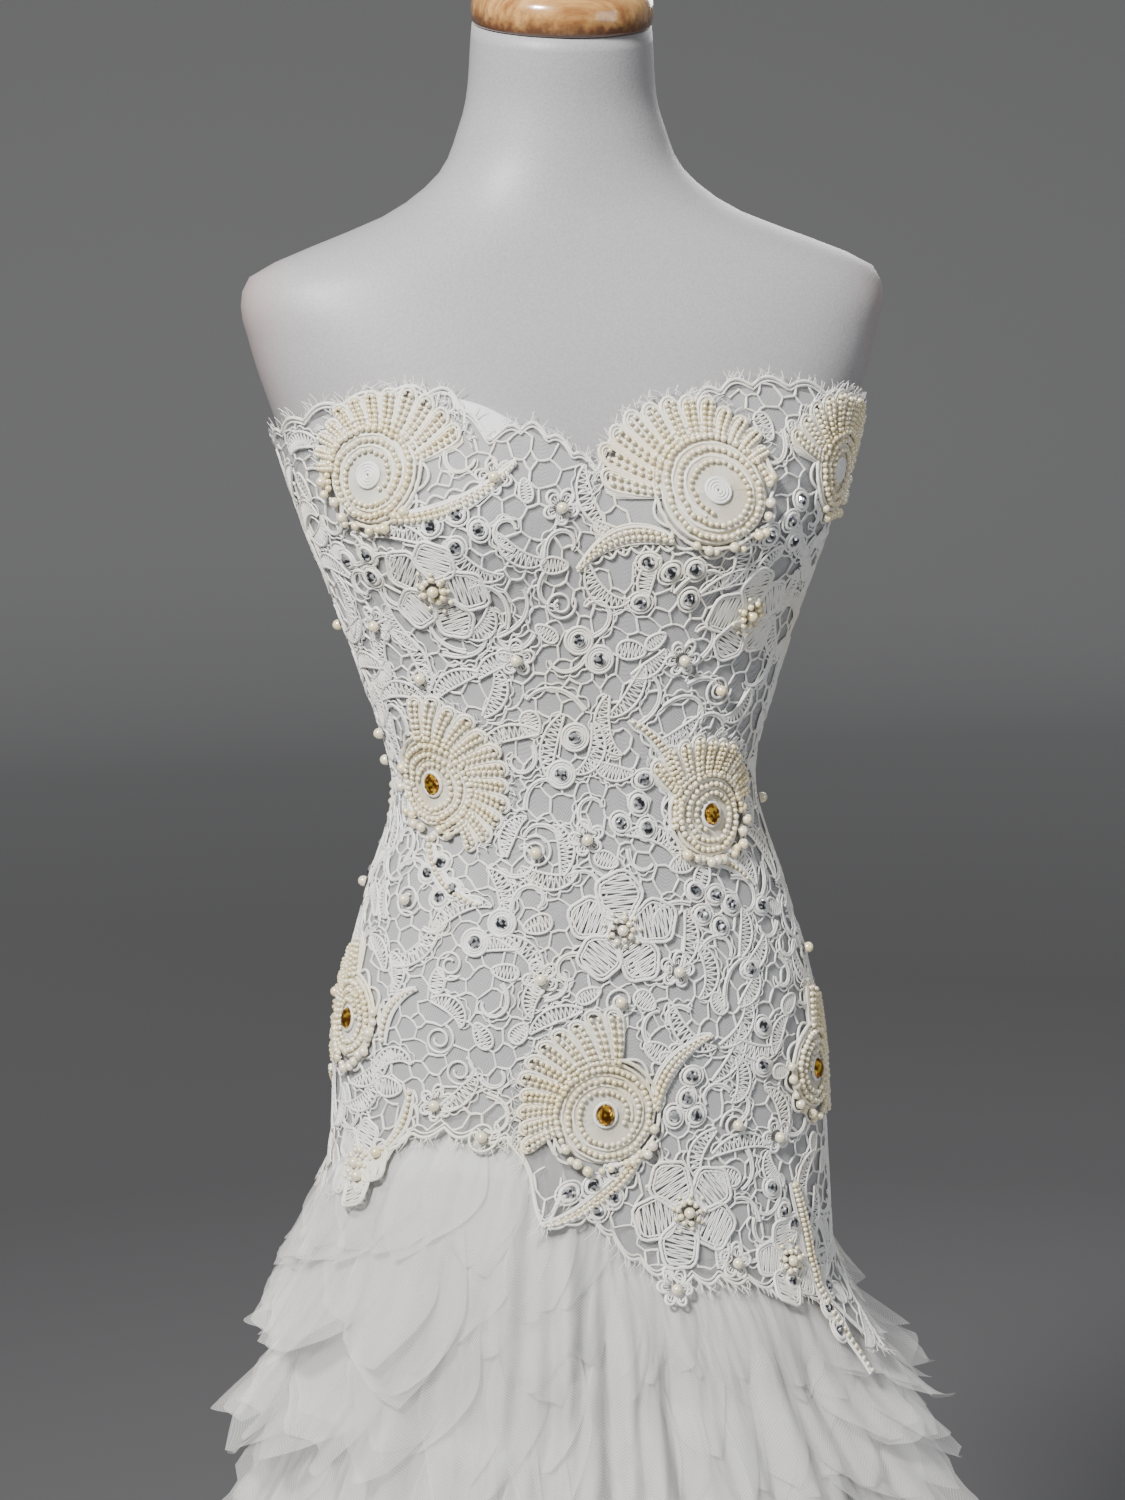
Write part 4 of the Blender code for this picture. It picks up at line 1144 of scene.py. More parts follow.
class Crescent(NamedTuple):
    """A bowed band of pearls from one end to the other, widest near its first end."""

    angle: float
    height: float
    end_angle: float
    end_height: float
    bow: float  # millimetres, to the left of the way it runs
    width: float


CRESCENTS = [
    Crescent(23.0, 1.2148, -6.4, 1.1989, -11, 8),
    Crescent(28.2, 1.0411, 11.8, 1.1087, -14, 7),
    Crescent(-60.6, 1.0396, -41.3, 1.0013, -9, 6),
    Crescent(16.1, 0.8749, 36.1, 0.9166, 9, 7),
    Crescent(10.5, 0.8516, -21.0, 0.8165, 9, 7),
    Crescent(-52.0, 1.2310, -26.0, 1.2620, -9, 7),
    Crescent(37.0, 1.0215, 54.7, 1.0047, 5, 5),
    Crescent(58.0, 0.8162, 62.0, 0.6950, 8, 8),
    Crescent(-66.0, 0.9150, -58.0, 0.9500, 8, 5),
    Crescent(-58.0, 0.8900, -66.0, 0.8450, 7, 5),
    Crescent(-128, 1.120, -106, 1.080, 10, 7), Crescent(112, 1.000, 128, 0.950, 10, 7),
    Crescent(-112, 1.000, -122, 0.930, 10, 7), Crescent(130, 1.130, 108, 1.100, 10, 7),
    Crescent(-100, 0.880, -130, 0.850, 10, 7), Crescent(105, 0.830, 135, 0.850, -10, 7),
]

# Places of single stones and pearls on the front, in the photograph's pixels

STONES_SEEN = [
    (365, 555), (370, 577), (345, 560), (430, 527), (455, 515), (478, 530), (455, 549), (650, 563),
    (672, 573), (697, 570), (642, 603), (691, 600), (771, 537), (793, 521), (803, 500), (795, 541),
    (646, 780), (640, 804), (622, 824), (649, 829), (438, 863), (425, 873), (450, 890), (437, 898),
    (698, 891), (718, 895), (733, 904), (705, 915), (723, 927), (765, 905), (754, 969), (767, 1027),
    (766, 1066), (695, 1077), (689, 1099), (676, 1117), (699, 1116), (570, 1190), (594, 1186),
    (615, 1172), (614, 1198), (597, 1210), (775, 1188), (786, 1211), (797, 1224), (790, 1280),
    (825, 1286), (815, 1307), (813, 1327),
]
RINGED_STONES_SEEN = [(579, 641), (600, 660), (575, 738), (561, 775), (500, 924), (473, 943)]
CURLS_SEEN = [(560, 605), (448, 965), (437, 1040), (457, 1072)]
LARGE_PEARLS_SEEN = [
    (515, 660), (685, 660), (721, 690), (381, 732), (767, 798), (535, 853), (587, 840), (363, 882),
    (405, 900), (806, 948), (540, 980), (621, 1002), (680, 972), (375, 625), (420, 678), (493, 478),
    (561, 508), (738, 1125), (780, 1137), (435, 1105), (485, 1135), (670, 1285), (735, 1262),
    (384, 1150), (372, 1172),
]
STONES_BEHIND = [
    (-104, 1.215), (-98, 1.200), (-108, 1.195), (104, 1.215), (98, 1.200), (110, 1.198), (-135, 1.140),
    (-142, 1.128), (138, 1.135), (146, 1.122), (-105, 1.020), (-100, 1.005), (104, 1.015), (98, 1.000),
    (-150, 0.985), (-142, 0.975), (146, 0.972), (138, 0.985), (-128, 0.985), (130, 0.990), (-118, 0.880),
    (-110, 0.868), (116, 0.885), (108, 0.872), (-168, 1.120), (168, 1.115), (-140, 0.845), (138, 0.825),
]
LARGE_PEARLS_BEHIND = [
    (-96, 1.160), (96, 1.165), (-128, 1.225), (126, 1.220), (-166, 1.160), (167, 1.155), (-140, 1.090),
    (142, 1.095), (-98, 1.075), (100, 1.070), (-170, 0.985), (170, 0.990), (-120, 1.000), (122, 1.005),
    (-96, 0.930), (96, 0.925), (-135, 0.905), (132, 0.900), (-172, 0.865), (168, 0.850), (-110, 0.838),
]

CORD = 1.05 * MM
FINE_CORD = 0.65 * MM
STITCH = 0.42 * MM
SATIN_LIFT = 1.1 * MM
CENTRE_LIFT = SATIN_LIFT + 1.4 * MM
LOBE_PEARL = 1.55 * MM
SPIRAL_PEARL = 1.8 * MM
LARGE_PEARL = 3.4 * MM
STONE_RADIUS = 3.7 * MM
STONE_LIFT = 0.9 * MM
AMBER_RADIUS = 5.4 * MM
FAN_SPIRAL = (0.19, 0.47)  # the pearl spiral's inner and outer radius, in reaches
SPIRAL_TURNS = 2.7
SPIRAL_SWEEP = SPIRAL_TURNS * 2 * math.pi
SPIRAL_POINTS = 84
LOBE_BASE = 0.50
LOBE_PEARLS = 7
FRILL_PEARLS = 11
FRILL_LOOPS = 6
LOOSE_THREADS = 70
LOOSE_THREAD = 0.28 * MM
FLOWER_PETALS = 5
FLOWER_PEARLS = 9  # in each of its two rings
EYELET_RINGS = [(4.3, 1.2, 0.8, 1.15), (6.3, 0.75, 0.5, 1.2)]  # radius, cord, lift and oval
DISC_RINGS = [(4.5, 1.05), (6.2, 0.8), (8.0, 1.0)]  # radius and cord
ROSETTE_RINGS = [(4.6, 6.2, 0.95), (4.2, 4.0, 0.6)]  # radius, petals' depth and cord


def full_turn(count):
    """Angles spaced evenly round a circle."""
    return np.linspace(0, 2 * math.pi, count, endpoint=False)


def polar(away, where):
    """Offsets at distances in given directions."""
    return away * np.cos(where), away * np.sin(where)


def turned(x, y, turn):
    """Offsets turned by an angle."""
    return x * math.cos(turn) - y * math.sin(turn), x * math.sin(turn) + y * math.cos(turn)


def draws(chance, count, low, high):
    """Seeded random values."""
    return np.array([chance.uniform(low, high) for _ in range(count)])


class Lace:
    """Gathers the lace's parts by kind, side and shape, so that each kind is laid at once."""

    def __init__(self):
        self.parts = {}

    def add(self, kind, shape, angle, height, across, up, *values):
        side = "front" if abs(wrapped_degrees(np.mean(angle))) <= 90 else "back"
        whole = np.broadcast_arrays(angle, height, across, up, *values)
        self.parts.setdefault((kind, side, shape), []).append([np.array(v, float) for v in whole])


class Spot(NamedTuple):
    """A place on the lace. What it adds lies at offsets in metres from there."""

    lace: Lace
    angle: float
    height: float

    def cord(self, across, up, radius, lift, closed=False, kind="cord"):
        """Cords through offsets shaped (points) or (cords, points)."""
        across, up = np.atleast_2d(across), np.atleast_2d(up)
        self.lace.add(kind, (closed, across.shape[1]), self.angle, self.height, across, up, lift, radius)

    def ring(self, radius, cord, lift, oval=1.0, turn=0.0, points=16):
        turns = full_turn(points)
        line = turned(radius * np.cos(turns), radius * oval * np.sin(turns), turn)
        self.cord(*line, cord, lift, closed=True)

    def beads(self, across, up, radius, lift, kind="pearl"):
        """Pearls or cut stones."""
        self.lace.add(kind, (), self.angle, self.height, np.ravel(across), np.ravel(up), lift, radius)

    def patch(self, across, up, lift, stitch_across, stitch_along, closed=True):
        """A filled patch from offsets shaped (rows, columns), with the places of its stitches."""
        shape = (*across.shape, closed)
        whole = (v[None] for v in np.broadcast_arrays(across, up, lift, stitch_across, stitch_along))
        self.lace.add("satin", shape, self.angle, self.height, *whole)


def stone_template():
    """A round cut stone: a girdle, two rows of facets and a table."""
    turns = np.arange(8) * math.pi / 4
    half = math.pi / 8
    rings = [(1.00, -0.05, 0.0), (1.00, 0.15, 0.0), (0.78, 0.50, half), (0.46, 0.66, 0.0)]
    points = [(r * math.cos(t + s), r * math.sin(t + s), z) for r, z, s in rings for t in turns]
    points.append((0, 0, 0.68))
    faces = []
    for i in range(8):
        j, k = (i + 1) % 8, (i - 1) % 8
        faces += [(i, j, 8 + j), (i, 8 + j, 8 + i)]
        faces += [(8 + i, 8 + j, 16 + i), (16 + i, 16 + k, 8 + i)]
        faces += [(16 + i, 24 + j, 24 + i), (24 + i, 16 + k, 16 + i)]
        faces.append((24 + i, 24 + j, 32))
    return np.array(points), np.array(faces)


def zigzag(half_length, half_width, stitches):
    """Straight stitches to and fro inside an oval, shaped (stitches, 2)."""
    steps = np.linspace(-0.9, 0.88, stitches + 1)
    swing = np.where(np.arange(stitches + 1) % 2 == 0, 1, -1) * np.sqrt(1 - steps**2) * 0.86
    x, y = half_length * steps, half_width * swing
    return np.stack([x[:-1], x[1:]], 1), np.stack([y[:-1], y[1:]], 1)


def lay_lace(lace, materials):
    """Makes one object of each kind for the front and one for the back, and lists them by side."""
    stone = stone_template()
    templates = {"seed_pearl": pearl_template(7, 3), "pearl": pearl_template(8, 3)}
    templates.update(large_pearl=pearl_template(11, 5), stone=stone)
    templates["amber"] = (stone[0] * (1.0, 1.25, 1.0), stone[1])
    heaps, stitches = {}, {}
    for (kind, side, shape), parts in lace.parts.items():
        angles, heights, across, up, lift, *values = (np.concatenate(column) for column in zip(*parts))
        heights = heights + up
        angles = angle_across(angles, heights, across)
        points = cloth_points(angles, heights, lace_out(angles, heights) + lift)
        normals = cloth_normals(angles, heights)
        heap = heaps.setdefault((kind, side), Heap())
        if kind == "satin":
            rows, columns, closed = shape
            faces = grid_faces(rows, columns, closed)
            faces = faces[:, ::-1] if closed else faces
            shift = np.arange(len(points))[:, None, None] * rows * columns
            heap.add(points, (faces[None] + shift).reshape(-1, 4))
            stitches.setdefault(side, []).append(np.stack(values, -1).reshape(-1, 2))
        elif kind in templates:
            size = values[0]
            aside = unit(np.cross(np.array([0.0, 0.0, 1.0]), normals))
            frames = np.stack([aside, np.cross(normals, aside), normals], 1)
            foot = 0.0 if kind in ("stone", "amber") else 0.75
            add_copies(heap, templates[kind], points + normals * size[:, None] * foot, frames, size)
        else:
            add_cords(heap, points, normals, values[0], shape[0])
    made = {"front": [], "back": []}
    for (kind, side), heap in heaps.items():
        item = heap.make(f"lace_{kind}_{side}", materials[kind], smooth=kind not in ("stone", "amber"))
        if kind == "satin":
            lay_weave(item, np.concatenate(stitches[side]))
        made[side].append(item)
    return made


def make_fan(lace, fan, chance):
    """The parts of a fan, from its ground up. They all take the fan in metres and radians."""
    spot = Spot(lace, math.radians(fan.angle), fan.height)
    fan = fan._replace(reach=fan.reach * MM, start=math.radians(fan.start), sweep=math.radians(fan.sweep))
    lay_fan_ground(spot, fan)
    lay_lobes(spot, fan, chance)
    lay_spiral(spot, fan, chance)
    lay_frill(spot, fan, chance)
    lay_centre(spot, fan.centre)
    lay_loose_threads(spot, fan, chance)


def lay_fan_ground(spot, fan):
    """The filled ground under the spiral and the lobes, raised a little in each lobe."""
    bearings = full_turn(96)
    turn = ((bearings - fan.start) * fan.way()) % (2 * math.pi)
    share = turn / abs(fan.sweep)
    opened = share <= 1
    bump = np.abs(np.sin(math.pi * share * fan.lobes)) * opened
    lobe = fan.reach_at(share) * 0.95 * (0.86 + 0.14 * np.sqrt(bump))
    edge = np.where(opened, lobe, FAN_SPIRAL[1] * fan.reach)
    rows = np.array([0.02, 0.3, 0.5, 0.65, 0.8, 0.9, 0.97, 1.0])[:, None]
    lift = SATIN_LIFT * (1 - 0.9 * smooth_step((rows - 0.88) / 0.12)) + 0.8 * MM * (1 - rows)
    lift = lift + 0.7 * MM * bump * smooth_step((rows - 0.4) * 3) * (1 - smooth_step((rows - 0.9) * 10))
    spot.patch(*polar(edge * rows, bearings), lift, bearings * fan.reach * 0.7, edge * rows)


def lay_lobes(spot, fan, chance):
    """Two cords round each lobe, and two rows of seed pearls inside."""
    share = (np.arange(fan.lobes) + 0.5) / fan.lobes
    bearing = fan.start + fan.sweep * share
    tip = fan.reach_at(share) * draws(chance, fan.lobes, 0.96, 1.03)
    base = LOBE_BASE * fan.reach * (1 - 0.45 * fan.taper * share)
    half = abs(fan.sweep) / fan.lobes / 2

    def line(inset, along, side):
        """Points of a line in every lobe, set in from its edge."""
        length = (tip - inset - base)[:, None]
        radius = base[:, None] + length * along
        wide = half * radius - inset
        start_round = 1 - wide.max() / length
        rounding = np.sqrt(1 - np.clip((along - start_round) / (1 - start_round), 0, 1) ** 2)
        swirl = bearing[:, None] + fan.way() * 0.30 * (radius / fan.reach - 0.6)
        offset = side * wide * rounding
        across = radius * np.cos(swirl) - offset * np.sin(swirl)
        return across, radius * np.sin(swirl) + offset * np.cos(swirl)

    along = np.array([0, 0.2, 0.4, 0.6, 0.75, 0.86, 0.94, 0.985, 1.0])
    along = np.concatenate([along, along[-2::-1]])
    side = np.concatenate([np.full(8, 1.0), [0.0], np.full(8, -1.0)])
    size = CORD * draws(chance, len(along) * fan.lobes, 0.85, 1.15).reshape(fan.lobes, -1)
    spot.cord(*line(0.6 * MM, along, side), size, SATIN_LIFT, kind="fan_cord")
    spot.cord(*line(2.3 * MM, along, side), FINE_CORD, SATIN_LIFT + 0.5 * MM, kind="fan_cord")
    for row in (-0.36, 0.36):
        across, up = line(0.0, np.linspace(0.02, 0.82, LOBE_PEARLS), row)
        size = LOBE_PEARL * draws(chance, across.size, 0.88, 1.12)
        spot.beads(across, up, size, SATIN_LIFT + 1.0 * MM, "seed_pearl")


def on_spiral(fan, gone, shift):
    """Offsets on the fan's spiral, an angle on from its inner end, and shifted outwards."""
    inner, outer = (share * fan.reach for share in FAN_SPIRAL)
    radius = inner + (outer - inner) * gone / SPIRAL_SWEEP + shift
    return polar(radius, fan.start + fan.sweep * 1.12 - fan.way() * (SPIRAL_SWEEP - gone))


def lay_spiral(spot, fan, chance):
    """A spiral of pearls, with a cord between its turns and one round its last turn."""
    steps = np.linspace(0, SPIRAL_SWEEP, 160)
    across, up = on_spiral(fan, steps, 0.0)
    walk = np.concatenate([[0], np.cumsum(np.hypot(np.diff(across), np.diff(up)))])
    count = int(walk[-1] / (2.05 * SPIRAL_PEARL))
    gone = np.interp((np.arange(count) + 0.5) / count * walk[-1], walk, steps)
    across, up = on_spiral(fan, gone, draws(chance, count, -0.6, 0.6) * MM)
    size = SPIRAL_PEARL * (0.84 + 0.26 * gone / SPIRAL_SWEEP) * draws(chance, count, 0.92, 1.08)
    spot.beads(across, up, size, SATIN_LIFT + 0.8 * MM)
    pitch = (FAN_SPIRAL[1] - FAN_SPIRAL[0]) * fan.reach / SPIRAL_TURNS
    for shift, low, thick in ((0.5, 0.3, 0.9), (1.02, SPIRAL_SWEEP - 5.4, 1.1)):
        wander = draws(chance, SPIRAL_POINTS, -0.3, 0.3) * MM
        across, up = on_spiral(fan, np.linspace(low, SPIRAL_SWEEP, SPIRAL_POINTS), pitch * shift + wander)
        size = CORD * thick * draws(chance, SPIRAL_POINTS, 0.8, 1.2)
        spot.cord(across, up, size, SATIN_LIFT + 0.6 * MM, kind="fan_cord")


def lay_frill(spot, fan, chance):
    """A cluster of larger pearls on the closed side, in a frill of small loops."""
    outer = FAN_SPIRAL[1] * fan.reach
    end = fan.start + fan.sweep
    for shift in np.linspace(0.2, 2.4, FRILL_PEARLS):
        where = end + fan.way() * (shift + chance.uniform(-0.08, 0.08))
        away = outer + chance.uniform(0.5, 6.0) * MM
        size = LARGE_PEARL * chance.uniform(0.62, 1.0)
        spot.beads(*polar(away, where), size, 1.0 * MM, "large_pearl")
    steps = np.linspace(0, 1, 60)
    where = end + fan.way() * (2 * math.pi - abs(fan.sweep)) * steps
    away = outer + (2.0 + 5.5 * np.abs(np.sin(math.pi * FRILL_LOOPS * steps))) * MM
    spot.cord(*polar(away, where), CORD * 0.9, 0.5 * MM)


def lay_centre(spot, kind):
    """A cut amber stone in a ring of cord, or close turns of thread."""
    if kind == "amber":
        spot.beads(0, 0, AMBER_RADIUS, CENTRE_LIFT, "amber")
        spot.ring(6.6 * MM, CORD, CENTRE_LIFT, 1.1)
    else:
        for radius in (1.6, 3.4, 5.2, 7.0):
            spot.ring(radius * MM, CORD, CENTRE_LIFT)


def lay_loose_threads(spot, fan, chance):
    """Loose thread ends round the open edge."""
    share = draws(chance, LOOSE_THREADS, 0, 1)
    where = fan.start + fan.sweep * share + draws(chance, LOOSE_THREADS, -0.05, 0.05)
    steps = np.linspace(0, 1, 3)
    length = draws(chance, LOOSE_THREADS, 2.0, 6.0)[:, None] * MM
    away = (fan.reach_at(share) * 0.98)[:, None] + length * steps
    where = where[:, None] + draws(chance, LOOSE_THREADS, -0.12, 0.12)[:, None] * steps**2
    spot.cord(*polar(away, where), LOOSE_THREAD, (0.5 + 1.5 * steps) * MM)


def make_flower(lace, flower, chance):
    """Corded petals in open stitches, with two rings of pearls and a large one in the middle."""
    spot = Spot(lace, math.radians(flower.angle), flower.height)
    reach = flower.reach * MM
    first = math.radians(flower.turn)
    turns = full_turn(26)
    for petal in range(FLOWER_PETALS):
        where = first + petal * 2 * math.pi / FLOWER_PETALS + chance.uniform(-0.12, 0.12)
        long_half = reach * 0.42 * chance.uniform(0.9, 1.06)
        wide_half = reach * 0.38 * chance.uniform(0.9, 1.06)
        scallop = 1 + 0.07 * np.cos(5 * turns + chance.uniform(0, 6))
        x = long_half * np.cos(turns) * scallop
        y = wide_half * np.sin(turns) * scallop * (1 + 0.15 * np.cos(turns))
        lift = (0.9 + 0.3 * (petal % 2)) * MM
        for inset, cord in ((1.0, CORD), (0.83, FINE_CORD)):
            spot.cord(*turned(x * inset + reach * 0.58, y * inset, where), cord, lift, closed=True)
        for count, thick in ((19, STITCH), (12, 0.36 * MM)):
            x_ends, y_ends = zigzag(long_half, wide_half, count)
            spot.cord(*turned(x_ends + reach * 0.58, y_ends, where), thick, lift)
    turns = full_turn(FLOWER_PEARLS)
    for ring, low, high in ((6.6, 1.7, 2.3), (11.0, 1.2, 1.6)):
        away = ring * draws(chance, FLOWER_PEARLS, 0.8, 1.15) * MM
        size = draws(chance, FLOWER_PEARLS, low, high) * MM
        spot.beads(*polar(away, turns), size, 1.5 * MM)
    spot.beads(0, 0, LARGE_PEARL, 1.4 * MM, "large_pearl")


def make_crescent(lace, crescent):
    """Stitches along the band, cords and a scalloped cord beside them, and rows of pearls on top."""
    angle = math.radians((crescent.angle + crescent.end_angle) / 2)
    height = (crescent.height + crescent.end_height) / 2
    spot = Spot(lace, angle, height)
    half_across = math.radians(crescent.end_angle - crescent.angle) / 2 * float(stride(angle, height))
    half_up = (crescent.end_height - crescent.height) / 2
    length = 2 * math.hypot(half_across, half_up)
    left = np.array([-half_up, half_across]) / (length / 2)

    def line(t, side):
        """Points a share of the way along, and to a side by a share of half the width."""
        wide = crescent.width * MM * np.sin(math.pi * (0.10 + 0.86 * t**0.75)) ** 0.8
        shift = crescent.bow * MM * 4 * t * (1 - t) + side * wide / 2
        return half_across * (2 * t - 1) + left[0] * shift, half_up * (2 * t - 1) + left[1] * shift

    t = np.linspace(0, 1, 18)
    sides = np.array([-1.0, -0.5, 0.0, 0.5, 1.0])[:, None]
    lift = 0.9 * MM * (1 - 0.7 * np.abs(sides) ** 3)
    spot.patch(*line(t[None], sides), lift, t * length, sides * 0.004, closed=False)
    for side, cord in ((-1.1, CORD), (1.1, CORD), (1.5, FINE_CORD), (-1.5, FINE_CORD)):
        spot.cord(*line(t, side), cord, 0.8 * MM)
    t = np.linspace(0, 1, 43)
    spot.cord(*line(t, 1.9 + 1.1 * np.abs(np.sin(math.pi * 7 * t))), CORD * 0.8, 0.4 * MM)
    count = int(length / (3.3 * MM))
    t = (np.arange(count) + 0.5) / count
    size = (1.3 + 0.8 * (1 - t)) * MM
    for side in (-0.45, 0.45) if crescent.width >= 7 else (0.0,):
        spot.beads(*line(t, side), size * 0.9, 1.3 * MM)


def make_stones(lace, places, chance):
    """Each stone sits in its own oval eyelet of satin stitch."""
    for place in places:
        spot = Spot(lace, *place)
        spot.beads(0, 0, STONE_RADIUS, STONE_LIFT, "stone")
        turn = chance.uniform(0, math.pi)
        for radius, cord, lift, oval in EYELET_RINGS:
            spot.ring(radius * MM, cord * MM, lift * MM, oval, turn)


def make_ringed_stones(lace, places):
    """Larger stones inside round discs of close cord turns."""
    for place in places:
        spot = Spot(lace, *place)
        for radius, cord in DISC_RINGS:
            spot.ring(radius * MM, cord * MM, 0.8 * MM, points=22)
        spot.beads(0, 0, STONE_RADIUS * 1.05, STONE_LIFT, "stone")


def make_rosettes(lace, places, chance):
    """Single large pearls, most with corded petals round them and the others in a curl of thread."""
    for number, place in enumerate(places):
        spot = Spot(lace, *place)
        spot.beads(0, 0, LARGE_PEARL, 1.2 * MM, "large_pearl")
        turn = chance.uniform(0, 2 * math.pi)
        if number % 3 == 2:
            make_curl(spot, 10.0 * MM, turn)
            continue
        turns = full_turn(44)
        petals = np.abs(np.sin((2.5 + 0.5 * (number % 2)) * turns))
        for ring, depth, cord in ROSETTE_RINGS:
            away = (ring + depth * petals**0.7 * (1 + 0.18 * np.sin(turns + turn))) * MM
            spot.cord(*polar(away, turns + turn), cord * MM, 0.7 * MM, closed=True)
        spokes = np.array([4.4, 7.0]) * MM
        spot.cord(*polar(spokes, turns[::2, None] + turn), 0.36 * MM, 0.5 * MM)


def make_curl(spot, reach, turn):
    """An open spiral of thread."""
    share = np.linspace(0, 1, 40)
    spot.cord(*polar(reach * (0.28 + 0.72 * share), turn + 11.0 * share), 0.85 * MM, 0.6 * MM)


# Where the motifs lie, so that the net and the curling bands keep out of them


STONE_ROOM = 5.5 * MM
RING_ROOM = 8.5 * MM
PEARL_ROOM = 8.0 * MM


def taken_areas(small_places):
    """Angles, heights and radii of the round areas that the motifs fill."""
    areas = []
    for fan in FANS:
        middle = math.radians(fan.start + fan.sweep / 2)
        shift = fan.reach * 0.20 * MM
        angle = angle_across(math.radians(fan.angle), fan.height, shift * math.cos(middle))
        areas.append((float(angle), fan.height + shift * math.sin(middle), fan.reach * 0.74 * MM))
    areas += [(math.radians(f.angle), f.height, f.reach * 0.82 * MM) for f in FLOWERS]
    for c in CRESCENTS:
        for t in np.linspace(0, 1, 7):
            angle = math.radians(c.angle + (c.end_angle - c.angle) * t)
            areas.append((angle, c.height + (c.end_height - c.height) * t, c.width * 0.7 * MM))
    for radius, places in small_places:
        areas += [(angle, height, radius) for angle, height in places]
    return np.array(areas)


def room_at(areas, angle, height):
    """How far places lie outside the nearest taken area."""
    angle, height = np.atleast_1d(angle)[:, None], np.atleast_1d(height)[:, None]
    turn = np.radians(wrapped_degrees(angle - areas[:, 0]))
    return (np.hypot(turn * stride(angle, height), height - areas[:, 1]) - areas[:, 2]).min(1)


NET_CELL = 9.6 * MM
NET_BAR = 0.66 * MM
NET_BEND = 1.1 * MM
NET_OVERLAP = 1.5 * MM  # how far the net runs in under a motif
NET_TRIES = 24000
PATTERN_RADIUS = 0.125
PATTERN_HEIGHTS = (0.69, 1.32)


def spread_places(spacing, tries, chance):
    """Places spread evenly over the lace but in no regular order, as angles and heights."""
    places = [(chance.uniform(-math.pi, math.pi), chance.uniform(*PATTERN_HEIGHTS)) for _ in range(tries)]
    places = np.array(places)
    points = cloth_points(places[:, 0], places[:, 1], 0.004)
    keys = np.floor(points / spacing).astype(int)
    cells, kept = {}, []
    around = [(x, y, z) for x in (-1, 0, 1) for y in (-1, 0, 1) for z in (-1, 0, 1)]
    for i, (x, y, z) in enumerate(keys.tolist()):
        near = [j for dx, dy, dz in around for j in cells.get((x + dx, y + dy, z + dz), ())]
        if near and ((points[near] - points[i]) ** 2).sum(1).min() < spacing**2:
            continue
        cells.setdefault((x, y, z), []).append(i)
        kept.append(i)
    return places[kept]


def make_net(lace, areas, chance):
    """Bars between the middles of neighbouring triangles make uneven many-sided cells."""
    corners = spread_places(NET_CELL, NET_TRIES, chance)
    flat = [Vector((angle * PATTERN_RADIUS, height)) for angle, height in corners]
    triangles = np.array(delaunay_2d_cdt(flat, [], [], 0, 1e-7)[2])
    middles = corners[triangles].mean(1)
    owners = {}
    for number, (a, b, c) in enumerate(triangles.tolist()):
        for pair in ((a, b), (b, c), (c, a)):
            owners.setdefault((min(pair), max(pair)), []).append(number)
    pairs = np.array([pair for pair in owners.values() if len(pair) == 2])
    start, end = middles[pairs[:, 0]], middles[pairs[:, 1]]
    middle = (start + end) / 2
    keep = room_at(areas, middle[:, 0], middle[:, 1]) > -NET_OVERLAP
    for place in (start, end):
        keep &= (place[:, 1] < lace_top(place[:, 0])) & (place[:, 1] > lace_bottom(place[:, 0]))
    start, end, middle = start[keep], end[keep], middle[keep]
    half = (end - start) / 2
    across = half[:, :1] * stride(middle[:, 0], middle[:, 1])[:, None]
    along = np.array([-1.0, 0.0, 1.0])
    bend = draws(chance, len(half), -1, 1)[:, None] * NET_BEND * (1 - along**2)
    radius = draws(chance, len(half) * 3, 0.7, 1.45).reshape(-1, 3) * NET_BAR
    angle = middle[:, 0]
    for part in (np.abs(angle) <= math.pi / 2, angle > math.pi / 2, angle < -math.pi / 2):
        offsets = across[part] * along, half[part, 1:] * along + bend[part]
        lace.add("net", (False, 3), middle[part, :1], middle[part, 1:], *offsets, 0.0, radius[part])


EDGE_POINTS = 121
EDGE_THREADS = 700
EDGE_THREAD = 0.3 * MM


def make_edges(lace, chance):
    """Cords along the lace's scalloped edges, with a fringe of loose threads."""
    share = np.linspace(0, 1, 3)
    for edge, way in ((lace_top, 1), (lace_bottom, -1)):
        for start in (-180, -90, 0, 90):
            angles = np.radians(np.linspace(start, start + 90, EDGE_POINTS))
            for inset, radius in ((0.0, CORD), (2.4 * MM, FINE_CORD)):
                line = angles[None], edge(angles)[None] - way * inset
                lace.add("cord", (False, EDGE_POINTS), *line, 0.0, 0.0, 0.3 * MM, radius)
        for _ in range(EDGE_THREADS):
            angle = chance.uniform(-math.pi, math.pi)
            lean = chance.uniform(-1.0, 1.0)
            length = chance.uniform(2.5, 8.0) * MM
            across = lean * length * share**2 + 0.6 * MM * np.sin(5 * share)
            up = way * length * share * (1 - 0.3 * abs(lean))
            spot = Spot(lace, angle, float(edge(angle)))
            spot.cord(across, up, EDGE_THREAD * (1 - 0.5 * share), (0.3 + 1.5 * share) * MM)


SCROLL_SPACING = 15.0 * MM
SCROLL_TRIES = 9000
SCROLL_MARGIN = 2.0 * MM
SCROLL_INSET = 0.008
SCROLL_STEPS = 26


def make_scrolls(lace, areas, chance):
    """Curling bands and leaves between the motifs."""
    places = spread_places(SCROLL_SPACING, SCROLL_TRIES, chance)
    angles, heights = places[:, 0], places[:, 1]
    keep = room_at(areas, angles, heights) > SCROLL_MARGIN
    keep &= (heights > lace_bottom(angles) + SCROLL_INSET) & (heights < lace_top(angles) - SCROLL_INSET)
    for number, place in enumerate(places[keep]):
        spot = Spot(lace, *place)
        if number % 5 == 4:
            make_leaf(spot, chance)
        else:
            make_scroll(spot, number % 5 < 2, chance)


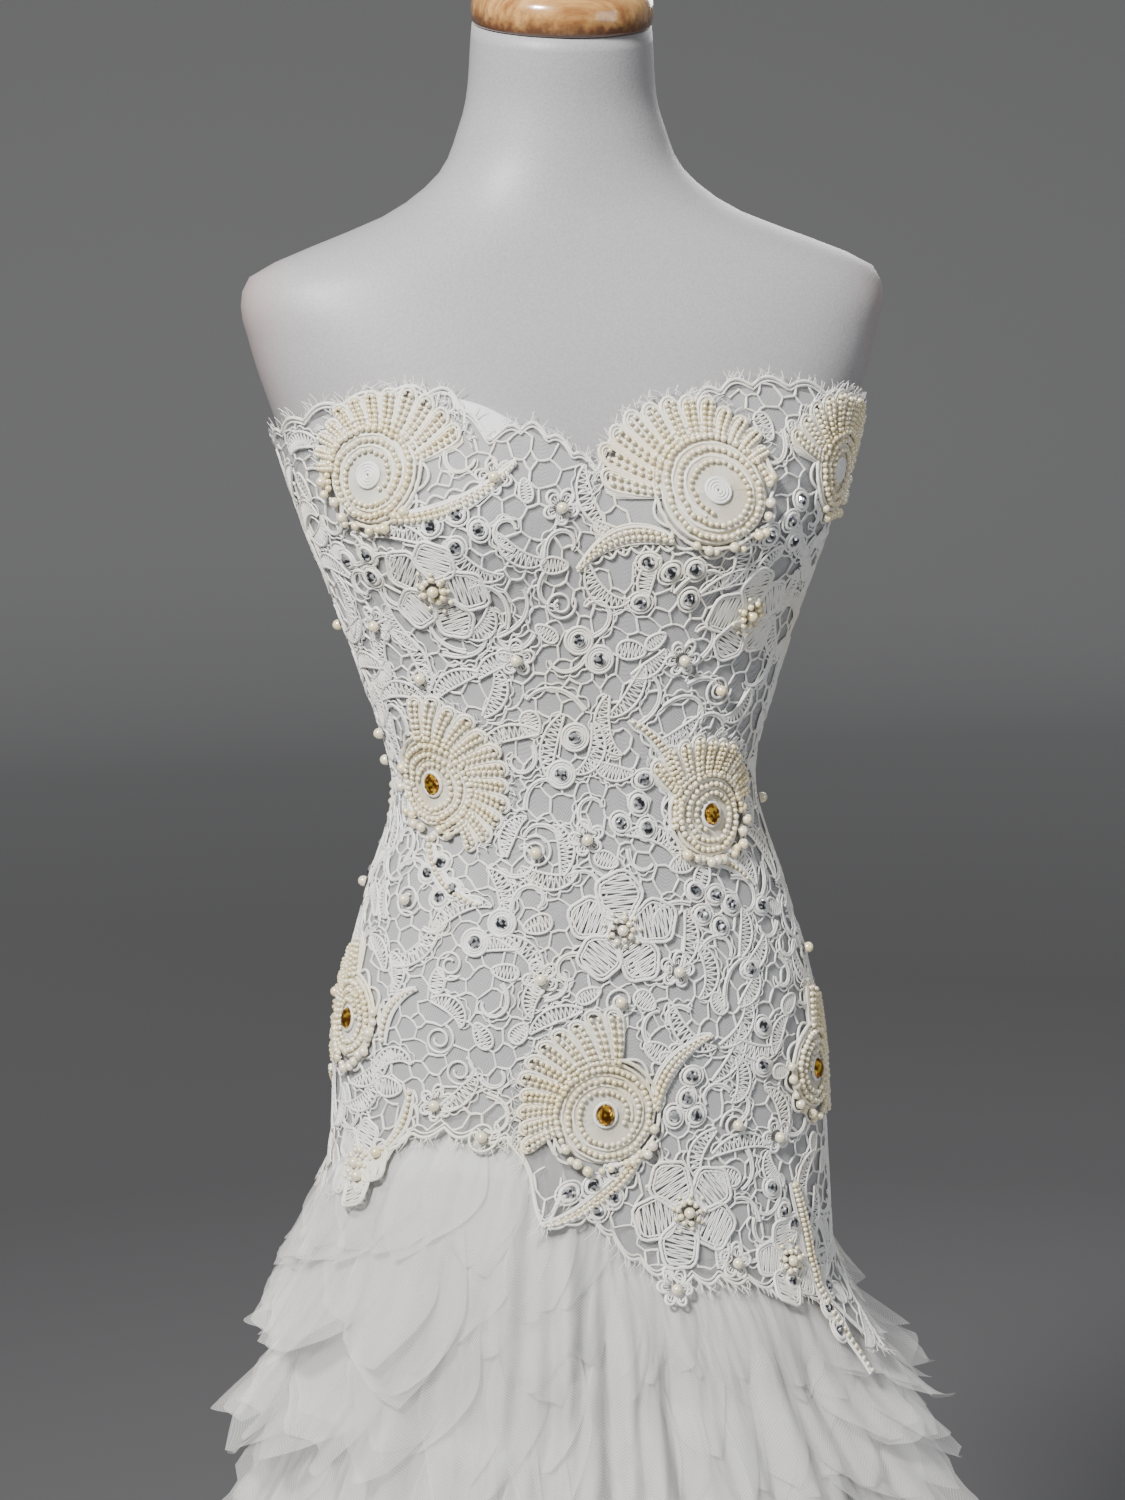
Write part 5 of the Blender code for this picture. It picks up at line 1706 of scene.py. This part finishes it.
def make_scroll(spot, filled, chance):
    """A curling stem with small loops outside, or a bent leaf filled with stitches."""
    length = chance.uniform(26, 46) * MM
    bearing = chance.uniform(0, 2 * math.pi)
    curl = chance.choice((-1, 1)) * (chance.uniform(1.0, 2.2) if filled else chance.uniform(1.6, 4.6))
    steps = np.linspace(0, 1, SCROLL_STEPS + 1)
    turns = bearing + curl * steps**1.5
    across = np.concatenate([[0], np.cumsum(np.cos(turns[:-1]))]) * length / SCROLL_STEPS
    up = np.concatenate([[0], np.cumsum(np.sin(turns[:-1]))]) * length / SCROLL_STEPS
    across, up = across - across.mean(), up - up.mean()
    heights = spot.height + up
    if heights.min() < lace_bottom(spot.angle) + 0.004 or heights.max() > lace_top(spot.angle) - 0.003:
        return
    left = -np.sin(turns), np.cos(turns)
    outside = -math.copysign(1, curl)

    def beside(shift, every):
        return (across + left[0] * shift * MM)[::every], (up + left[1] * shift * MM)[::every]

    def cord(shift, radius, every, lift):
        size = radius * MM * (1 - 0.3 * steps[::every])
        size = size * draws(chance, len(size), 0.82, 1.18)
        spot.cord(*beside(shift, every), size, lift * MM, kind="scroll")

    if filled:
        wide = 4.6 * np.sin(math.pi * np.minimum(steps * 0.95 + 0.04, 1)) ** 0.8
        cord(wide, 0.95, 2, 0.7)
        cord(-wide, 0.95, 2, 0.7)
        x, y = beside(np.where(np.arange(len(steps)) % 2 == 0, 0.9, -0.9) * wide, 1)
        pairs = np.stack([x[:-1], x[1:]], 1), np.stack([y[:-1], y[1:]], 1)
        spot.cord(*pairs, STITCH, 0.8 * MM, kind="scroll")
        cord(outside * (wide + 1.4 + 1.9 * np.abs(np.sin(math.pi * 6 * steps))), 0.55, 1, 0.4)
    else:
        taper = 1 - 0.5 * steps
        cord(0.0, 1.05, 2, 0.6)
        cord(-outside * 1.8 * taper, 0.65, 2, 0.5)
        cord(outside * (2.0 + 2.8 * np.abs(np.sin(math.pi * 5 * steps))) * taper, 0.6, 1, 0.4)


def make_leaf(spot, chance):
    """A small almond leaf: a cord round it and stitches across."""
    bearing = chance.uniform(0, 2 * math.pi)
    length = chance.uniform(13, 19) * MM
    wide = length * chance.uniform(0.26, 0.36)
    turns = full_turn(18)
    x, y = length / 2 * np.cos(turns), wide * np.sin(turns) * (1 + 0.25 * np.cos(turns))
    spot.cord(*turned(x, y, bearing), 0.85 * MM, 0.6 * MM, True, "scroll")
    spot.cord(*turned(*zigzag(length / 2, wide, 14), bearing), STITCH, 0.6 * MM, False, "scroll")


# All of the lace, with the sheer net that carries it

LACE_SEED = 31
GROUND_STEP = 1.0  # degrees
GROUND_ROWS = 40
GROUND_SINK = 0.5 * MM


def make_net_ground(piece, material):
    """The fine sheer net that carries the cords, cut along the lace's scalloped edges. Its dark grey colour
    is painted shade, standing in for the shadows the cords cast on it.
    """
    angles, heights = panel_grid(piece, GROUND_STEP, GROUND_ROWS, lace_bottom, lace_top)
    points = cloth_points(angles, heights, lace_out(angles, heights) - GROUND_SINK)
    item = make_grid(f"lace_ground_{piece.name}", points, material, walked(points))
    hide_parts(f"lace_{piece.name}")
    return item


def make_lace(materials):
    chance = random.Random(LACE_SEED)
    lace = Lace()

    def behind(table):
        return [(math.radians(angle), height) for angle, height in table]

    def seen(table):
        return [(float(angle), float(height)) for angle, height in zip(*places_seen(table))]

    stones = seen(STONES_SEEN) + behind(STONES_BEHIND)
    ringed = seen(RINGED_STONES_SEEN)
    curls = seen(CURLS_SEEN)
    pearls = seen(LARGE_PEARLS_SEEN) + behind(LARGE_PEARLS_BEHIND)
    for fan in FANS:
        make_fan(lace, fan, chance)
    for flower in FLOWERS:
        make_flower(lace, flower, chance)
    for crescent in CRESCENTS:
        make_crescent(lace, crescent)
    make_stones(lace, stones, chance)
    make_ringed_stones(lace, ringed)
    for place in curls:
        make_curl(Spot(lace, *place), 9.5 * MM, chance.uniform(0, 6))
    make_rosettes(lace, pearls, chance)
    areas = taken_areas([(STONE_ROOM, stones), (RING_ROOM, ringed + curls), (PEARL_ROOM, pearls)])
    make_net(lace, areas, chance)
    make_scrolls(lace, areas, chance)
    make_edges(lace, chance)
    made = lay_lace(lace, materials)
    for piece in BODICE_PANELS:
        ground = make_net_ground(piece, materials["ground"])


# The zip's closed teeth and tape, down the centre back below the slider

ZIP_FOOT = 0.880
TOOTH_PITCH = 1.5 * MM
TOOTH_HALF = (1.1 * MM, 0.6 * MM, 0.42 * MM)
TOOTH_ASIDE = 0.5 * MM
TOOTH_LIFT = 0.9 * MM
TAPE_PAST_FOOT = 0.012
TAPE_PAST_TOP = 0.018


def make_teeth(material):
    heights = np.arange(ZIP_FOOT, ZIP_TOP - 0.006, TOOTH_PITCH)
    box = np.array([(x, y, z) for z in (-1, 1) for y in (-1, 1) for x in (-1, 1)], float)
    faces = np.array([(0, 2, 3, 1), (4, 5, 7, 6), (0, 1, 5, 4), (2, 6, 7, 3), (0, 4, 6, 2), (1, 3, 7, 5)])
    heap = Heap()
    for number, height in enumerate(heights):
        side = 1 if number % 2 else -1
        centre = cloth_points(math.pi, height, lace_out(math.pi, height) + TOOTH_LIFT)
        heap.add(centre + (side * TOOTH_ASIDE, 0, 0) + box * TOOTH_HALF, faces)
    heap.make("zip_teeth", material, smooth=False)


def make_zip_tape(material):
    width, length = ZIP_CUT
    heights = np.linspace(ZIP_FOOT - TAPE_PAST_FOOT, ZIP_TOP + TAPE_PAST_TOP, 60)[:, None]
    across = np.linspace(-width / 2, width / 2, 5)[None]
    angles = math.pi + across / stride(math.pi, heights)
    points = cloth_points(angles, heights, lace_out(math.pi, heights) - 0.2 * MM)
    tape = make_grid("zip_tape", points, material, walked(points))


def finish_slider(material):
    """The slider and the pull tab stay the solids' own, in metal and with softened edges."""
    for node in ("zip_slider", "zip_pull"):
        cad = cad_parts[node]
        cad.data.materials.clear()
        cad.data.materials.append(material)
        bevel = cad.modifiers.new("soft_edges", "BEVEL")
        bevel.width = 0.15 * MM
        bevel.segments = 2


def lace_materials():
    materials = {
        "cord": thread_material("lace_thread", (0.90, 0.90, 0.88), (0.89, 0.84, 0.72)),
        "satin": stitch_material("lace_stitch", (0.86, 0.84, 0.76), (0.86, 0.78, 0.60)),
        "pearl": pearl_material(),
        # The stones' dark and bright colours are painted reflections and painted glints.
        "stone": glint_painted_crystal_material("clear_crystal", (0.07, 0.075, 0.085), (0.88, 0.89, 0.92)),
        "amber": glint_painted_crystal_material("amber_crystal", (0.20, 0.07, 0.01), (0.80, 0.50, 0.06)),
        # The sheer net's dark grey is painted shade between the cords; the net itself is white.
        "ground": sheer_material("sheer_net_painted_shade", "ivory_lace", (0.30, 0.30, 0.305), 700.0, 0.34, 0.66),
        "fan_cord": thread_material("fan_thread", (0.90, 0.87, 0.78), (0.89, 0.79, 0.57)),
    }
    materials["large_pearl"] = materials["seed_pearl"] = materials["pearl"]
    materials["net"] = materials["scroll"] = materials["cord"]
    return materials


def build():
    satin = satin_material()
    tulle = sheer_material("white_tulle", "white_tulle", (0.84, 0.84, 0.835), 900.0, 0.24, 0.42)
    zip_metal = metal_material("zip_metal", "zip_metal", (0.80, 0.80, 0.80), 0.22)
    add_camera()
    add_stage()
    add_lights()
    make_form(skin_material())
    make_neck_cap(wood_material())
    make_stand(metal_material("stand_metal", "stand_metal", (0.62, 0.62, 0.64), 0.30))
    for piece in BODICE_PANELS:
        make_lining(piece, satin)
    make_lace(lace_materials())
    make_teeth(zip_metal)
    make_zip_tape(satin)
    finish_slider(zip_metal)
    for piece in SKIRT_PANELS:
        make_underskirt(piece, satin)
    chance = random.Random(TULLE_SEED)
    for piece in SKIRT_PANELS:
        for number, tier in enumerate(TIERS, 1):
            make_tier(number, tier, piece, tulle, chance)


build()
